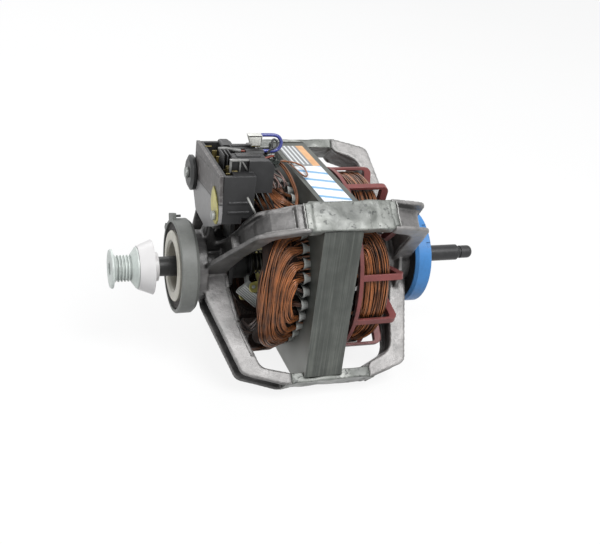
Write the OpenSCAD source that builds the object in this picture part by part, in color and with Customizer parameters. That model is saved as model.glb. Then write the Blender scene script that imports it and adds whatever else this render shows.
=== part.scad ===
// Dryer drive motor, open frame, four poles, with a start switch on its front shield.
// Lengths are millimetres. X runs along the shaft towards the blower end, Y points away from
// the label's lettering side and Z is up. Axial places are distances from the stack's middle.

/* [Stator] */
// Distance across the flats of the stack
stator_across = 146.6; // [144:0.2:148]
// Length of the stack of laminations
stack_len = 28.4; // [26:0.2:32]
// Bore of the stack
stator_bore = 79; // [76:0.5:80]
// Depth of a winding slot, from the bore
slot_depth = 22.6; // [21.6:0.2:23]
// Width of a slot at its outer end
slot_end_w = 6.2; // [5.8:0.1:6.6]
// Width of a slot at its inner end
slot_root_w = 4.2; // [3.8:0.1:4.6]
// How far a slot liner stands out of the stack
liner_cuff = 5.2; // [3:0.2:5.4]
// Wall of a slot liner
liner_wall = 0.5; // [0.4:0.1:0.8]
// Thickness of the label on the top flat
label_t = 0.3; // [0.2:0.1:0.6]
// Length of the label across the flat
label_len = 107; // [80:1:110]
// Width of the label along the shaft
label_w = 20.5; // [16:0.5:22]

/* [Windings] */
// Reach of the front end turns from the stack's middle
front_turns = 50; // [47:0.5:52]
// Reach of the rear end turns from the stack's middle
rear_turns = 46.4; // [45:0.2:46.8]
// Radius of the outer layer of strands about the shaft
turn_r = 66.9; // [66.5:0.1:67.1]
// Diameter of one strand of the outer layer
strand_d = 1.6; // [1.2:0.1:1.6]
// Step along the shaft from one strand to the next
strand_step = 3; // [2.6:0.1:3.2]
// Radial thickness of the main end turns
main_turn_t = 12.4; // [11:0.2:12.6]
// Radial thickness of the start end turns
start_turn_t = 5; // [4:0.2:5.4]

/* [Coil frame] */
// Outer radius of the coil frame
frame_r = 70.4; // [70:0.2:71]
// Reach of the frame's loops from the stack's middle
frame_reach = 55; // [52:0.2:56]
// Width of a loop's end bar
frame_bar = 5.4; // [4:0.2:5.4]
// Thickness of a loop across its plane
frame_t = 4.6; // [3:0.2:5]

/* [End shields] */
// Distance of the front mounting ring's outer face from the stack's middle
front_face = 99; // [98.4:0.2:104]
// Distance of the rear mounting ring's outer face from the stack's middle
rear_face = 94.1; // [93:0.1:97]
// Width of an arm
arm_w = 22; // [20:0.5:23]
// Wall of an arm
arm_wall = 3; // [2.4:0.2:4]
// Distance from the shaft axis to the outside of the arms' ends
arm_reach = 96.4; // [95.6:0.2:98]
// Thickness of the bonded block over a corner of the stack
bond_t = 3.6; // [3.2:0.1:4.2]
// Outer diameter of the front hub
front_hub_d = 52; // [50:0.5:53]
// Outer diameter of the rear hub
rear_hub_d = 48; // [46:0.5:50]

/* [Mounting rings] */
// Outer diameter of the front mounting ring
front_ring_d = 69.5; // [69:0.1:70]
// Outer diameter of the rear mounting ring
rear_ring_d = 73.4; // [72:0.1:75]
// Width of a mounting ring
ring_w = 13; // [12:0.2:14]
// Wall of a mounting ring
ring_wall = 2.8; // [2.2:0.1:3.4]

/* [Shaft] */
// Diameter of the shaft inside the motor
shaft_d = 13.2; // [13.1:0.1:13.4]
// Diameter of the blower end
blower_d = 12.7; // [12.5:0.1:12.8]
// Distance of the shaft's blower tip from the stack's middle
shaft_tip = 148.5; // [146:0.5:152]
// Length of the thinner tip behind the groove
tip_len = 10.5; // [8:0.5:12]
// Diameter of the tip
tip_d = 10.3; // [9.6:0.1:11]
// Diameter of the groove
groove_d = 8.8; // [8:0.1:9.4]
// Outer diameter of a bearing sleeve
bearing_d = 20; // [18:0.5:22]

/* [Pulley] */
// Distance of the pulley's outer face from the stack's middle
pulley_face = 144.4; // [142:0.2:148]
// Diameter of the pulley's flange
flange_d = 28.4; // [26:0.2:30]
// Diameter over the belt ribs
rib_d = 19.4; // [18.6:0.2:21]
// Pitch of the belt ribs
rib_pitch = 2.34; // [2.2:0.02:2.4]
// Largest diameter of the pulley's cone
cone_d = 30; // [28:0.5:31]
// Largest diameter of the plastic belt guard
guard_d = 40; // [36:0.5:44]
// Wall of the belt guard
guard_wall = 1.6; // [1.2:0.1:2]
// Diameter of the hole in the pulley's outer face
pulley_hole_d = 9.5; // [8:0.1:10.5]
// Diameter of the spacer sleeve behind the pulley
spacer_d = 14.8; // [14.6:0.1:15.2]

/* [Rotor] */
// Air gap between rotor and stack
air_gap = 0.35; // [0.25:0.05:0.6]
// Length of a cage end ring
cage_ring = 7.5; // [6:0.5:9]
// Length of a fan fin beyond its end ring
fin_len = 5; // [4:0.5:6]
// Thickness of a fan fin
fin_t = 2.2; // [1.6:0.2:3]

/* [Governor and switch] */
// Travel of the governor's collar
collar_travel = 3.1; // [2:0.1:3.2]
// Width of a governor weight along its pin
weight_w = 26; // [20:0.5:27]
// Thickness of a governor weight
weight_t = 5; // [4.4:0.2:5.6]
// Width of the switch housing across the shaft
switch_w = 69.5; // [66:0.5:70.5]
// Height of the switch housing's top above the shaft axis
switch_top = 84.5; // [82:0.5:88]
// Height of the switch housing's floor above the shaft axis
switch_floor = 50; // [49:0.2:51]
// Wall of the switch housing
switch_wall = 2.4; // [1.8:0.1:3]
// Thickness of the switch's front plate
plate_t = 2.3; // [1.6:0.1:2.8]
// Diameter of the round protector clip
clip_d = 26; // [22:0.5:27]

/* [Hidden] */
$fn = 64;

// Clearances
fit = 0.05;
run = 0.03;
loose = 0.3;

// Radii and half sizes
bore_r = stator_bore / 2;
slot_r = bore_r + slot_depth;
half_stack = stack_len / 2;
shaft_r = shaft_d / 2;
blower_r = blower_d / 2;
flat_r = stator_across / 2;
corner_reach = min(arm_reach - bond_t, flat_r * sqrt(2) - 1);
bearing_r = bearing_d / 2;
front_hub_r = front_hub_d / 2;
rear_hub_r = rear_hub_d / 2;
front_ring_r = front_ring_d / 2;
rear_ring_r = rear_ring_d / 2;

// Winding slots
slot_count = 36;
slot_pitch = 360 / slot_count;
slot_mouth = 2;
slot_neck = 2.6;
slot_in_r = bore_r + slot_neck;
slot_out_r = slot_r - slot_end_w / 2;
cuff_end = half_stack + liner_cuff;
bar_in_r = slot_in_r + 4;
bar_out_r = slot_out_r - 1.4;
bar_end = cuff_end + 0.6;
bar_side = liner_wall + 0.35;
run_r = bar_out_r + 2;

// End turns
rise_from = cuff_end + 0.5;
rise_to = rise_from + 8;
turn_drop = 3;
turn_drop_len = 5;
main_out_r = turn_r - strand_d / 2 - 0.9;
main_in_r = main_out_r - main_turn_t;
main_from = rise_to + 2;
main_half = 40;
main_leg = [11, 43.5];
start_in_r = bar_in_r + 0.6;
start_out_r = start_in_r + start_turn_t;
start_from = rise_to;
start_reach = 6;
start_half = 42.6;
start_leg = 2.6;
turn_round = 5;
strand_side = 1.2;
strand_loops = 6;
strand_square = 3;

// Coil frame
frame_ring = [cuff_end + 0.3, 3];
frame_loops = 12;
frame_in_r = bore_r + 4;
frame_rim = 2.2;
frame_ring_in = 66.4;

// Arms: axial places of root, bend and end
front_root = front_face - ring_w - 5;
front_depth = 19.6;
front_bend = 60.5;
front_end = half_stack + 9.8;
rear_root = rear_face - ring_w - 0.6;
rear_depth = 12;
rear_bend = 67;
rear_end = half_stack + 22.8;
bend_r = 86;
arm_inner = arm_reach - 8;
front_boss_r = 15.2;
bracket_web = 7;
hub_web = 3;
hub_web_r = 32;
step_r = [26, 47, 60, 78];

// Bearings in their hubs
recess_r = 19.4;
recess_depth = 11;
front_hub_end = front_face - 4;
front_hub_in = front_root - front_depth;
rear_hub_end = rear_face - 3;
rear_hub_in = rear_root - rear_depth - 6;
bearing_out = 6;
cap_t = 4.6;
washer_t = 1.5;
rubber_gap = 0.6;
front_rubber_out = front_ring_r - ring_wall;
rear_rubber_out = rear_ring_r - ring_wall;

// The front ring's tab, its pin and its lug, turns in degrees from the top
tab_turn = -23;
tab_t = 2.7;
tab_rise = 3.8;
pin_turn = -14;
ring_pin_r = 0.9;
lug_turn = -61;

// Pulley and guard, axial places measured outwards from the stack
flange_t = 2.8;
rib_count = 5;
rib_depth = 1.3;
rib_end = pulley_face - flange_t - rib_count * rib_pitch - 0.4;
cone_len = 4.6;
cone_end = rib_end - cone_len;
guard_len = 10.4;
guard_end = cone_end - guard_len;
guard_hub_r = 10.5;
guard_hub_end = guard_end - 4.2;
shaft_front = pulley_face - 6.4;
blower_from = rear_hub_end + 3.9;
spacer_end = front_hub_end - recess_depth + bearing_out + loose;

// Governor, axial places measured to the front
base_from = half_stack + cage_ring + fin_len + 1.5;
base_t = 2;
base_r = 22;
pin_x = base_from + base_t + 13.8;
pin_r = 1.2;
pin_z = 22;
ear_t = 1.6;
ear_gap = weight_w / 2 + 0.6;
governor_turn = -40;
weight_slant = 44;
weight_back = 14;
weight_front = 6;
groove = [5, 4.6, 1.6, 1.2];
finger_z = 10.7;
finger_t = 1.6;
collar_face = 57.2;
collar_r = 13;
collar_body_r = 11.4;
collar_groove_r = 9;
collar_groove = 1.4;
collar_lip = 1.6;
spring_r = 8.4;
spring_wire = 1.2;
spring_turns = 3;

// Switch, axial places measured to the front
plate_x = 79.2;
housing_front = plate_x - plate_t - 0.1;
housing_back = 54;
housing_in = housing_front - housing_back;
lever_x = collar_face + loose;
lever_t = 3;
lever_pivot_z = 45.5;
lever_pin_r = 1.5;
lever_half_w = 8;
lever_foot = [13.4, -8, 3];
ear_y = lever_half_w + 1;
fork = [
    [16, -8, 1], [16, 13, 3], [9.6, 26, 3], [9.6, 40, 1], [8, 42, 0], [8, 53, 2],
    [-8, 53, 2], [-8, 42, 0], [-9.6, 40, 1], [-9.6, 26, 3], [-16, 13, 3], [-16, -8, 1],
    [-11, -8, 1], [-11, 11, 4], [-4, 21, 3], [4, 21, 3], [11, 11, 4], [11, -8, 1]
];
block_in = -66;
block_out = -39;
block_skirt = -52;
block_low = 69;
block_top = 92.4;
bar_top = 90;
bar_low = 80;
bar_y = [-18, -7, 4, 10];
mid_bar = [-5, 2];
shelf = [-68.6, -26.5];
bracket_top = switch_floor - fit;
switch_far = 31.5;
plate_edge = switch_w - switch_far;
clip_y = switch_far + 1.5;
clip_z = switch_floor + 9.7;
clip_t = 4.4;
strap = [
    [11.7 - plate_edge, 73.8, 1], [14.7 - plate_edge, 68.5, 4], [15.4 - plate_edge, 62, 5],
    [13.5 - plate_edge, 57, 5], [9.6 - plate_edge, 53, 4], [4.8 - plate_edge, 50.3, 2],
    [-1 - plate_edge, 50.5, 2], [-3.8 - plate_edge, 55, 3], [-3.4 - plate_edge, 61, 5],
    [-0.6 - plate_edge, 66, 6], [5 - plate_edge, 71, 6]
];
strap_hole = [2.6 - plate_edge, 55.8];
strap_t = 0.9;
blade_t = 0.8;
blade_y = [[4 - plate_edge, -21, -12], [-2, 8, 20], [-25.4, -22.2]];

// Routes of the leads, chosen by hand, in the motor's own axes
lead_d = 1.8;
lead_routes = [
    [[-39, -4.4, 81.4], [-36, -4.4, 81.4], [-32, -4.4, 81.4], [-28.4, -6, 81.2], [-25.8, -11, 79.6],
     [-24, -18, 76.4], [-23, -25, 72.8], [-22.6, -32, 69], [-24, -39, 66.6], [-27, -45, 63]],
    [[-39, -2, 81.4], [-35, -2, 81.4], [-30.6, -2, 81.4], [-26.6, -3.8, 81], [-23.6, -9, 79],
     [-21.4, -16, 75.6], [-20.6, -23, 72], [-20.4, -29.6, 68.4], [-21.4, -34.6, 65.4], [-23, -38.6, 62.2]]
];
blue_d = 2.6;
blue_route = [
    [-39, 0, 88.4], [-36, 0, 88.4], [-33, 0, 88.4], [-30.4, 0.2, 88.5], [-28, 0.5, 89.1], [-26.2, 0.9, 90.6],
    [-25.3, 1.3, 92.6], [-25.2, 1.7, 94.8], [-26.2, 2.1, 97], [-28, 2.5, 98.5], [-30.4, 2.8, 99.1],
    [-33, 3, 99.2], [-35.4, 3, 99.2], [-37.8, 3, 99.2], [-40, 3, 99.2]
];
connector_size = [10.4, 7, 10];

// Place of the shaft axis over the point where the part stands
base_drop = (arm_reach + arm_w / 2) / sqrt(2);
mid_x = (shaft_tip - pulley_face) / 2;

module motor_frame() translate([-mid_x, 0, base_drop]) children();
module shaft_frame() motor_frame() rotate([180, 0, 0]) rotate([0, 90, 0]) children();
module to_front() mirror([0, 0, 1]) children();

// Outlines with rounded corners: each point is [across, along, corner radius]
function unit(v) = v / norm(v);
function xy(p) = [p[0], p[1]];
function turn_of(a, b) = (b - a + 540) % 360 - 180;
function corner(a, b, c, r, n = 5) =
    let (u = unit(a - b), v = unit(c - b), half = acos(u * v) / 2,
         mid = b + unit(u + v) * r / sin(half),
         p = b + u * r / tan(half), q = b + v * r / tan(half),
         from = atan2(p[1] - mid[1], p[0] - mid[0]),
         sweep = turn_of(from, atan2(q[1] - mid[1], q[0] - mid[0])))
    [for (i = [0 : n]) mid + r * [cos(from + sweep * i / n), sin(from + sweep * i / n)]];
function outline(p) = [
    for (i = [0 : len(p) - 1])
        let (a = xy(p[(i + len(p) - 1) % len(p)]), b = xy(p[i]), c = xy(p[(i + 1) % len(p)]))
        each (p[i][2] == 0 ? [b] : corner(a, b, c, p[i][2]))
];

// A plate in a plane through the shaft axis, from an outline of [radius, axial place]
module radial_plate(pts, w, side = 0)
    translate([0, side + w / 2, 0]) rotate([90, 0, 0]) linear_extrude(w) polygon(pts);

module tube(from, to, r_in, r_out)
    translate([0, 0, from]) difference() {
        cylinder(h = to - from, r = r_out);
        translate([0, 0, -1]) cylinder(h = to - from + 2, r = r_in);
    }

module turned(pts, angle = 360, from = 0) rotate([0, 0, from]) rotate_extrude(angle = angle) polygon(pts);

// Tube swept along points, with a reference direction for each ring of its sides
function tangent(p, i) = unit(p[min(i + 1, len(p) - 1)] - p[max(i - 1, 0)]);
function ring_points(p, ref, i, r, n) =
    let (t = tangent(p, i), a = unit(ref[i] - t * (ref[i] * t)), b = cross(t, a))
    [for (j = [0 : n - 1]) p[i] + r * (a * cos(360 * j / n) + b * sin(360 * j / n))];
module swept(p, ref, d, n) {
    rings = len(p);
    points = [for (i = [0 : rings - 1]) each ring_points(p, ref, i, d / 2, n)];
    sides = [
        for (i = [0 : rings - 2], j = [0 : n - 1])
            let (a = i * n + j, b = i * n + (j + 1) % n)
            each [[a, b + n, b], [a, a + n, b + n]]
    ];
    first = [for (j = [1 : n - 2]) [0, j, j + 1]];
    last = [for (j = [1 : n - 2]) [(rings - 1) * n, (rings - 1) * n + j + 1, (rings - 1) * n + j]];
    polyhedron(points = points, faces = concat(sides, first, last));
}
module lead(route, d, n) swept(route, [for (p = route) [0.3, 1, 0.2]], d, n);

module stack_outline() {
    cut = corner_reach * sqrt(2) - flat_r;
    polygon([for (k = [0 : 3]) each [
        [flat_r * cos(90 * k) + cut * sin(90 * k), flat_r * sin(90 * k) - cut * cos(90 * k)],
        [flat_r * cos(90 * k) - cut * sin(90 * k), flat_r * sin(90 * k) + cut * cos(90 * k)]
    ]]);
}

module slot_room(inset) {
    w_in = slot_root_w / 2 - inset;
    w_out = slot_end_w / 2 - inset;
    polygon([
        [slot_in_r + inset, -w_in], [slot_out_r, -w_out], [slot_out_r, w_out], [slot_in_r + inset, w_in]
    ]);
    translate([slot_out_r, 0]) circle(r = w_out);
}

module at_slots(angles) for (a = angles) rotate([0, 0, a]) children();

slot_angles = [for (k = [0 : slot_count - 1]) (k + 0.5) * slot_pitch];

module stator_core() color([0.36, 0.37, 0.37]) shaft_frame()
    translate([0, 0, -half_stack]) linear_extrude(stack_len) difference() {
        stack_outline();
        circle(r = bore_r);
        at_slots(slot_angles) {
            slot_room(0);
            translate([bore_r - 1, -slot_mouth / 2]) square([slot_neck + 2, slot_mouth]);
        }
    }

module slot_liners() color([0.72, 0.72, 0.70]) shaft_frame()
    translate([0, 0, -cuff_end]) linear_extrude(2 * cuff_end) at_slots(slot_angles) difference() {
        slot_room(fit);
        slot_room(fit + liner_wall);
    }

module slot_bar() {
    share = (bar_out_r - bar_in_r) / (slot_out_r - slot_in_r) * (slot_end_w - slot_root_w) / 2;
    w_in = slot_root_w / 2 - bar_side;
    translate([0, 0, -bar_end]) linear_extrude(2 * bar_end)
        polygon([[bar_in_r, -w_in], [bar_out_r, -w_in - share], [bar_out_r, w_in + share], [bar_in_r, w_in]]);
}

function box_outline(r0, r1, z0, z1, round_r) =
    outline([[r0, z0, 1], [r1, z0, 1], [r1, z1, round_r], [r0, z1, round_r]]);

module main_pole() {
    for (end = [0, 1]) {
        reach = (end == 0 ? rear_turns : front_turns) - strand_d;
        mirror([0, 0, end]) {
            turned(box_outline(main_in_r, main_out_r, main_from, reach, turn_round), 2 * main_half, -main_half);
            for (side = [0, 1]) mirror([0, side, 0])
                turned([
                    [start_out_r + 1, cuff_end + fit], [bar_out_r, cuff_end + fit],
                    [bar_out_r, main_from + 1], [start_out_r + 1, main_from + 1]
                ], main_leg[1] - main_leg[0], main_leg[0]);
        }
    }
    at_slots([for (k = [1 : 3], side = [-1, 1]) side * (k + 0.5) * slot_pitch]) slot_bar();
}

module main_windings() color([0.60, 0.36, 0.19]) shaft_frame()
    for (k = [0 : 3]) rotate([0, 0, 90 * k]) main_pole();

module start_pole() {
    for (end = [0, 1]) {
        reach = (end == 0 ? rear_turns : front_turns) - start_reach;
        mirror([0, 0, end]) {
            turned(box_outline(start_in_r, start_out_r, start_from, reach, 2), 2 * start_half, -start_half);
            for (side = [-1, 1])
                turned([
                    [start_in_r, cuff_end + fit], [start_out_r, cuff_end + fit],
                    [start_out_r, start_from + 2], [start_in_r, start_from + 2]
                ], 2 * start_leg, side * (45 - slot_pitch / 2) - start_leg);
        }
    }
    at_slots([for (side = [-1, 1]) side * (45 - slot_pitch / 2)]) slot_bar();
}

module start_windings() color([0.55, 0.33, 0.18]) shaft_frame()
    for (k = [0 : 3]) rotate([0, 0, 45 + 90 * k]) start_pole();

// Outer layer of one pole: an unbroken spiral of rounded loops that run through the slots
strand_angle = asin(strand_side / run_r);
function loop_angle(i) =
    45 - slot_pitch * floor((i + 1) / 2) + (i % 2 == 0 ? -1 : 1) * strand_angle;
function turns_end(z) = z < 0 ? front_turns : rear_turns;
function loop_reach(i, end) = turns_end(end) - strand_d / 2 - i * strand_step;
function rise(z) = min(max((abs(z) - rise_from) / (rise_to - rise_from), 0), 1);
function drop(z) = turn_drop * pow(max(abs(z) - turns_end(z) + turn_drop_len, 0) / turn_drop_len, 2);
function strand_point(z, angle) =
    let (r = run_r + (turn_r - run_r) * rise(z) - drop(z)) [r * cos(angle), r * sin(angle), z];
arch_shares = [-0.93, -0.72, -0.43, -0.14, 0.14, 0.43, 0.72, 0.93];
function squared(s) = pow(1 - pow(abs(s), strand_square), 1 / strand_square);
function arch_len(i, end) = loop_reach(i, end) - rise_from;
function arch_point(i, s, end) =
    strand_point(end * (rise_from + arch_len(i, end) * squared(s)), s * loop_angle(i));
function leg_point(i, z, side) =
    strand_point(z, side * loop_angle(i) * squared(max(abs(z) - rise_from, 0) / arch_len(i, z < 0 ? -1 : 1)));
function leg_mid(i, end) = end * (rise_from + arch_len(i, end) * squared(arch_shares[7]) / 2);
function leg_points(i, side, from) = [
    for (z = [leg_mid(i, from), from * rise_from, -from * rise_from, leg_mid(i, -from)]) leg_point(i, z, side)
];
function loop_points(i) = concat(
    leg_points(i, -1, 1),
    [for (s = arch_shares) arch_point(s < 0 ? i : i + 1, s, -1)],
    leg_points(i + 1, 1, -1),
    [for (s = arch_shares) arch_point(i + 1, -s, 1)]
);
strand_path = concat(
    [leg_point(0, half_stack, -1)],
    [for (i = [0 : strand_loops - 1]) each (i == 0
        ? [for (j = [2 : len(loop_points(0)) - 1]) loop_points(0)[j]] : loop_points(i))],
    [for (j = [0 : 1]) leg_points(strand_loops, -1, 1)[j]],
    [leg_point(strand_loops, -half_stack, -1)]
);
strand_refs = [for (p = strand_path) [p[0], p[1], 0]];

// Least gap of a tube to itself, from each point to each stretch that isn't beside it
function point_gap(p, a, b) =
    let (t = min(max(((p - a) * (b - a)) / ((b - a) * (b - a)), 0), 1)) norm(p - a - t * (b - a));
function least_gap(path, d, skip) = min([
    for (i = [0 : len(path) - 1], j = [0 : len(path) - 2])
        if (j > i + skip || j < i - skip - 1) point_gap(path[i], path[j], path[j + 1]) - d
]);
echo(strand_gap = least_gap(strand_path, strand_d, 3));

module strands(k) color([0.66, 0.40, 0.21]) shaft_frame()
    rotate([0, 0, 90 * k]) swept(strand_path, strand_refs, strand_d, 6);

module top_strands() strands(0);
module near_strands() strands(1);
module bottom_strands() strands(2);
module far_strands() strands(3);

module coil_frame() color([0.50, 0.25, 0.23]) shaft_frame() {
    tube(frame_ring[0], frame_ring[0] + frame_ring[1], frame_ring_in, frame_r);
    tube(rise_from + 3, rise_from + 8, frame_in_r, frame_in_r + frame_rim);
    for (k = [0 : frame_loops - 1]) rotate([0, 0, (k + 0.5) * 360 / frame_loops])
        radial_plate(outline([
            [frame_r - 0.2, frame_ring[0] + 1, 0], [frame_r, frame_reach, 5], [frame_in_r, frame_reach, 2],
            [frame_in_r, rise_from + 3, 0], [frame_in_r + frame_rim, rise_from + 3, 0],
            [frame_in_r + frame_rim, frame_reach - frame_bar, 1],
            [frame_r - frame_rim, frame_reach - frame_bar, 2], [frame_r - frame_rim, frame_ring[0] + 1, 0]
        ]), frame_t);
}

module corner_bonds() color([0.60, 0.60, 0.58]) shaft_frame()
    for (k = [0 : 3]) rotate([0, 0, 45 + 90 * k]) {
        lip = arm_reach - 0.4;
        inner = corner_reach + fit;
        radial_plate(outline([
            [lip, -front_end, 0], [lip + 0.4, -half_stack, 3], [lip, 2, 3], [lip + 0.4, half_stack, 3],
            [lip, rear_end, 0], [arm_inner, rear_end, 0], [arm_inner, half_stack + fit, 0],
            [inner, half_stack + fit, 0], [inner, -half_stack - fit, 0],
            [arm_inner, -half_stack - fit, 0], [arm_inner, -front_end, 0]
        ]), arm_w);
        translate([lip - 3.6, arm_w / 2, rear_end - 10]) rotate([90, 0, 0]) cylinder(h = arm_w, r = 4);
        translate([lip - 4.2, 0, half_stack + 5]) rotate([0, 90, 0]) cylinder(h = 4.8, r = 4.2);
    }

// Walls of an arm, as outlines of [radius, axial place]
function front_wall() = outline([
    [8, front_root, 0], [30, front_root - 0.8, 10], [bend_r, front_bend, 7], [arm_reach, front_bend - 30, 10],
    [arm_reach, front_end, 0], [arm_inner, front_end, 0], [arm_inner - 6, front_bend - 15, 9],
    [48, front_root - front_depth - 4, 20], [22, front_root - front_depth, 0], [8, front_root - front_depth, 0]
]);
function stepped_wall() = outline([
    [8, front_root - 2, 0], [step_r[0], front_root - 17, 8], [step_r[1], front_root - 21.4, 4],
    [step_r[2], front_root - 21.6, 4], [step_r[3], front_root - 25.6, 6],
    [arm_reach - 6, front_end + 6, 0], [arm_reach - 6, front_end, 0], [arm_inner, front_end, 0],
    [arm_inner - 6, front_bend - 15, 9], [48, front_root - front_depth - 4, 20],
    [22, front_root - front_depth, 0], [8, front_root - front_depth, 0]
]);
function rear_wall() = outline([
    [8, rear_root, 0], [24, rear_root - 0.6, 10], [bend_r + 2, rear_bend, 7], [arm_reach - 1, rear_bend - 25, 10],
    [arm_reach, rear_end, 0], [arm_inner, rear_end, 0], [arm_inner - 3.4, rear_end + 2, 4],
    [arm_inner - 9.9, rear_bend - 9.8, 14], [46, rear_root - rear_depth - 7, 16],
    [28, rear_root - rear_depth - 3, 0], [8, rear_root - rear_depth, 0]
]);
function front_floor() = outline([
    [8, front_root - front_depth + arm_wall, 0], [20, front_root - front_depth + arm_wall, 0],
    [48, front_root - front_depth - 4 + arm_wall, 20], [arm_inner - 6 + arm_wall, front_bend - 15 + arm_wall, 6],
    [arm_inner + arm_wall, front_end, 0], [arm_inner, front_end, 0], [arm_inner - 6, front_bend - 15, 9],
    [48, front_root - front_depth - 4, 20], [20, front_root - front_depth, 0], [8, front_root - front_depth, 0]
]);
function rear_floor() = outline([
    [20, rear_root - rear_depth + arm_wall, 0], [50, rear_root - rear_depth - 3 + arm_wall, 20],
    [arm_inner - 11, rear_bend - 1, 7], [arm_inner + 1, rear_end + 4, 6], [arm_inner + 3, rear_end, 0],
    [arm_inner, rear_end, 0], [arm_inner - 4, rear_end + 4, 6],
    [arm_inner - 14, rear_bend - 5, 8], [48, rear_root - rear_depth - 3, 20],
    [20, rear_root - rear_depth, 0]
]);

module arm(left, right, floor_pts, end_place) {
    side = (arm_w - arm_wall) / 2;
    radial_plate(left, arm_wall, -side);
    radial_plate(right, arm_wall, side);
    radial_plate(floor_pts, arm_w - arm_wall);
    translate([arm_inner, -side, end_place]) cube([arm_reach - arm_inner - 0.6, 2 * side, arm_wall]);
}

module hub(root, inner, outer, r) {
    translate([0, 0, inner]) cylinder(h = outer - inner, r = r);
    translate([0, 0, root]) cylinder(h = hub_web, r = hub_web_r);
}

module hub_bores(inner, outer) {
    translate([0, 0, inner - 1]) cylinder(h = outer - inner + 2, r = bearing_r + fit);
    translate([0, 0, outer - recess_depth]) cylinder(h = recess_depth + 1, r = recess_r);
}

module front_shield() color([0.58, 0.57, 0.57]) {
    shaft_frame() to_front() difference() {
        union() {
            translate([0, 0, front_root - 3]) cylinder(h = front_hub_end - front_root + 3, r = front_hub_r);
            translate([0, 0, front_hub_in]) cylinder(h = front_depth - 2, r = front_boss_r);
            for (k = [0 : 3]) rotate([0, 0, 45 + 90 * k])
                arm(k == 0 ? stepped_wall() : front_wall(), k == 3 ? stepped_wall() : front_wall(),
                    front_floor(), front_end);
        }
        hub_bores(front_hub_in, front_hub_end);
    }
    motor_frame() difference() {
        union() {
            translate([-housing_front, -20, bracket_top - 12]) cube([6, 40, 12]);
            side_block([
                [-front_root + 2, front_boss_r - 2], [-front_root + 2, front_hub_r - 3],
                [-housing_front, front_hub_r + 4], [-housing_front, bracket_top - 1],
                [-housing_front + 6, bracket_top - 1], [-housing_front + 6, front_hub_r + 2],
                [-front_hub_in - 4, front_boss_r - 2]
            ], -bracket_web, bracket_web);
        }
        for (side = [-1, 1]) translate([-housing_front - 1, side * 14, bracket_top - 8])
            rotate([0, 90, 0]) cylinder(h = 9, r = 1.6 + fit);
    }
}

module rear_shield() color([0.60, 0.58, 0.58]) shaft_frame() difference() {
    union() {
        hub(rear_root - rear_depth, rear_hub_in, rear_hub_end, rear_hub_r);
        for (k = [0 : 3]) rotate([0, 0, 45 + 90 * k]) arm(rear_wall(), rear_wall(), rear_floor(), rear_end);
    }
    hub_bores(rear_hub_in, rear_hub_end);
}

module bearing(inner, outer)
    tube(inner - 1, outer - recess_depth + bearing_out, shaft_r + run, bearing_r);
module felt(outer)
    tube(outer - recess_depth + fit, outer - recess_depth + bearing_out - 0.5, bearing_r + fit, recess_r - fit);
module front_bearing() color([0.68, 0.52, 0.32]) shaft_frame() to_front() bearing(front_hub_in, front_hub_end);
module rear_bearing() color([0.68, 0.52, 0.32]) shaft_frame() bearing(rear_hub_in, rear_hub_end);
module front_felt() color([0.48, 0.42, 0.36]) shaft_frame() to_front() felt(front_hub_end);
module rear_felt() color([0.48, 0.42, 0.36]) shaft_frame() felt(rear_hub_end);

module front_cap() color([0.84, 0.83, 0.79]) shaft_frame() to_front() {
    face = front_hub_end + cap_t;
    turned([
        [recess_r - 1.6, front_hub_end - 3], [recess_r - fit, front_hub_end - 3], [recess_r - fit, front_hub_end],
        [front_hub_r, front_hub_end], [front_hub_r, face - 0.8], [front_hub_r - 0.8, face],
        [recess_r - 0.2, face], [recess_r - 1.6, face - 1.6]
    ]);
}

module rear_cap() color([0.20, 0.20, 0.20]) shaft_frame() {
    tube(rear_hub_end - 3, rear_hub_end + 1, recess_r - 1.6, recess_r - fit);
    tube(rear_hub_end, rear_hub_end + 1.4, shaft_r + 1, rear_hub_r);
}

module front_rubber() color([0.25, 0.24, 0.24]) shaft_frame() to_front()
    tube(front_face - ring_w + rubber_gap, front_face - 1.6, front_hub_r + fit, front_rubber_out);

module rear_rubber() color([0.10, 0.10, 0.10]) shaft_frame()
    tube(rear_face - ring_w + rubber_gap, rear_face - 1.6, rear_hub_r + fit, rear_rubber_out);

function ring_outline(face, r_in, r_out) = outline([
    [r_in + fit, face - ring_w, 0], [r_out - 2, face - ring_w, 0], [r_out, face - ring_w + 2.4, 0],
    [r_out, face - 0.8, 0], [r_out - 0.8, face, 0], [r_in + fit, face, 0]
]);

module front_mounting_ring() color([0.44, 0.45, 0.44]) shaft_frame() to_front() {
    turned(ring_outline(front_face, front_rubber_out, front_ring_r));
    difference() {
        rotate([0, 0, tab_turn]) translate([0, 0, front_face - tab_t]) linear_extrude(tab_t) polygon(outline([
            [front_ring_r - 2, -7, 0], [front_ring_r + tab_rise, -7, 1.5],
            [front_ring_r + tab_rise, 7, 1.5], [front_ring_r - 2, 7, 0]
        ]));
        rotate([0, 0, pin_turn]) translate([front_ring_r + 2.2, 0, front_face - tab_t - 1])
            cylinder(h = tab_t + fit, r = ring_pin_r + fit);
    }
    rotate([0, 0, lug_turn]) translate([front_ring_r - 2, -2.5, front_face - 4]) cube([4.2, 5, 4]);
}

module ring_pin() color([0.12, 0.12, 0.12]) shaft_frame() to_front()
    rotate([0, 0, pin_turn]) translate([front_ring_r + 2.2, 0, front_face - 6]) cylinder(h = 5, r = ring_pin_r);

module rear_mounting_ring() color([0.28, 0.52, 0.80]) shaft_frame() difference() {
    turned(ring_outline(rear_face, rear_rubber_out, rear_ring_r));
    for (a = [28, 52]) rotate([0, 0, a])
        translate([rear_ring_r - 1, -2, rear_face - 4]) cube([3, 4, 6]);
}

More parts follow.
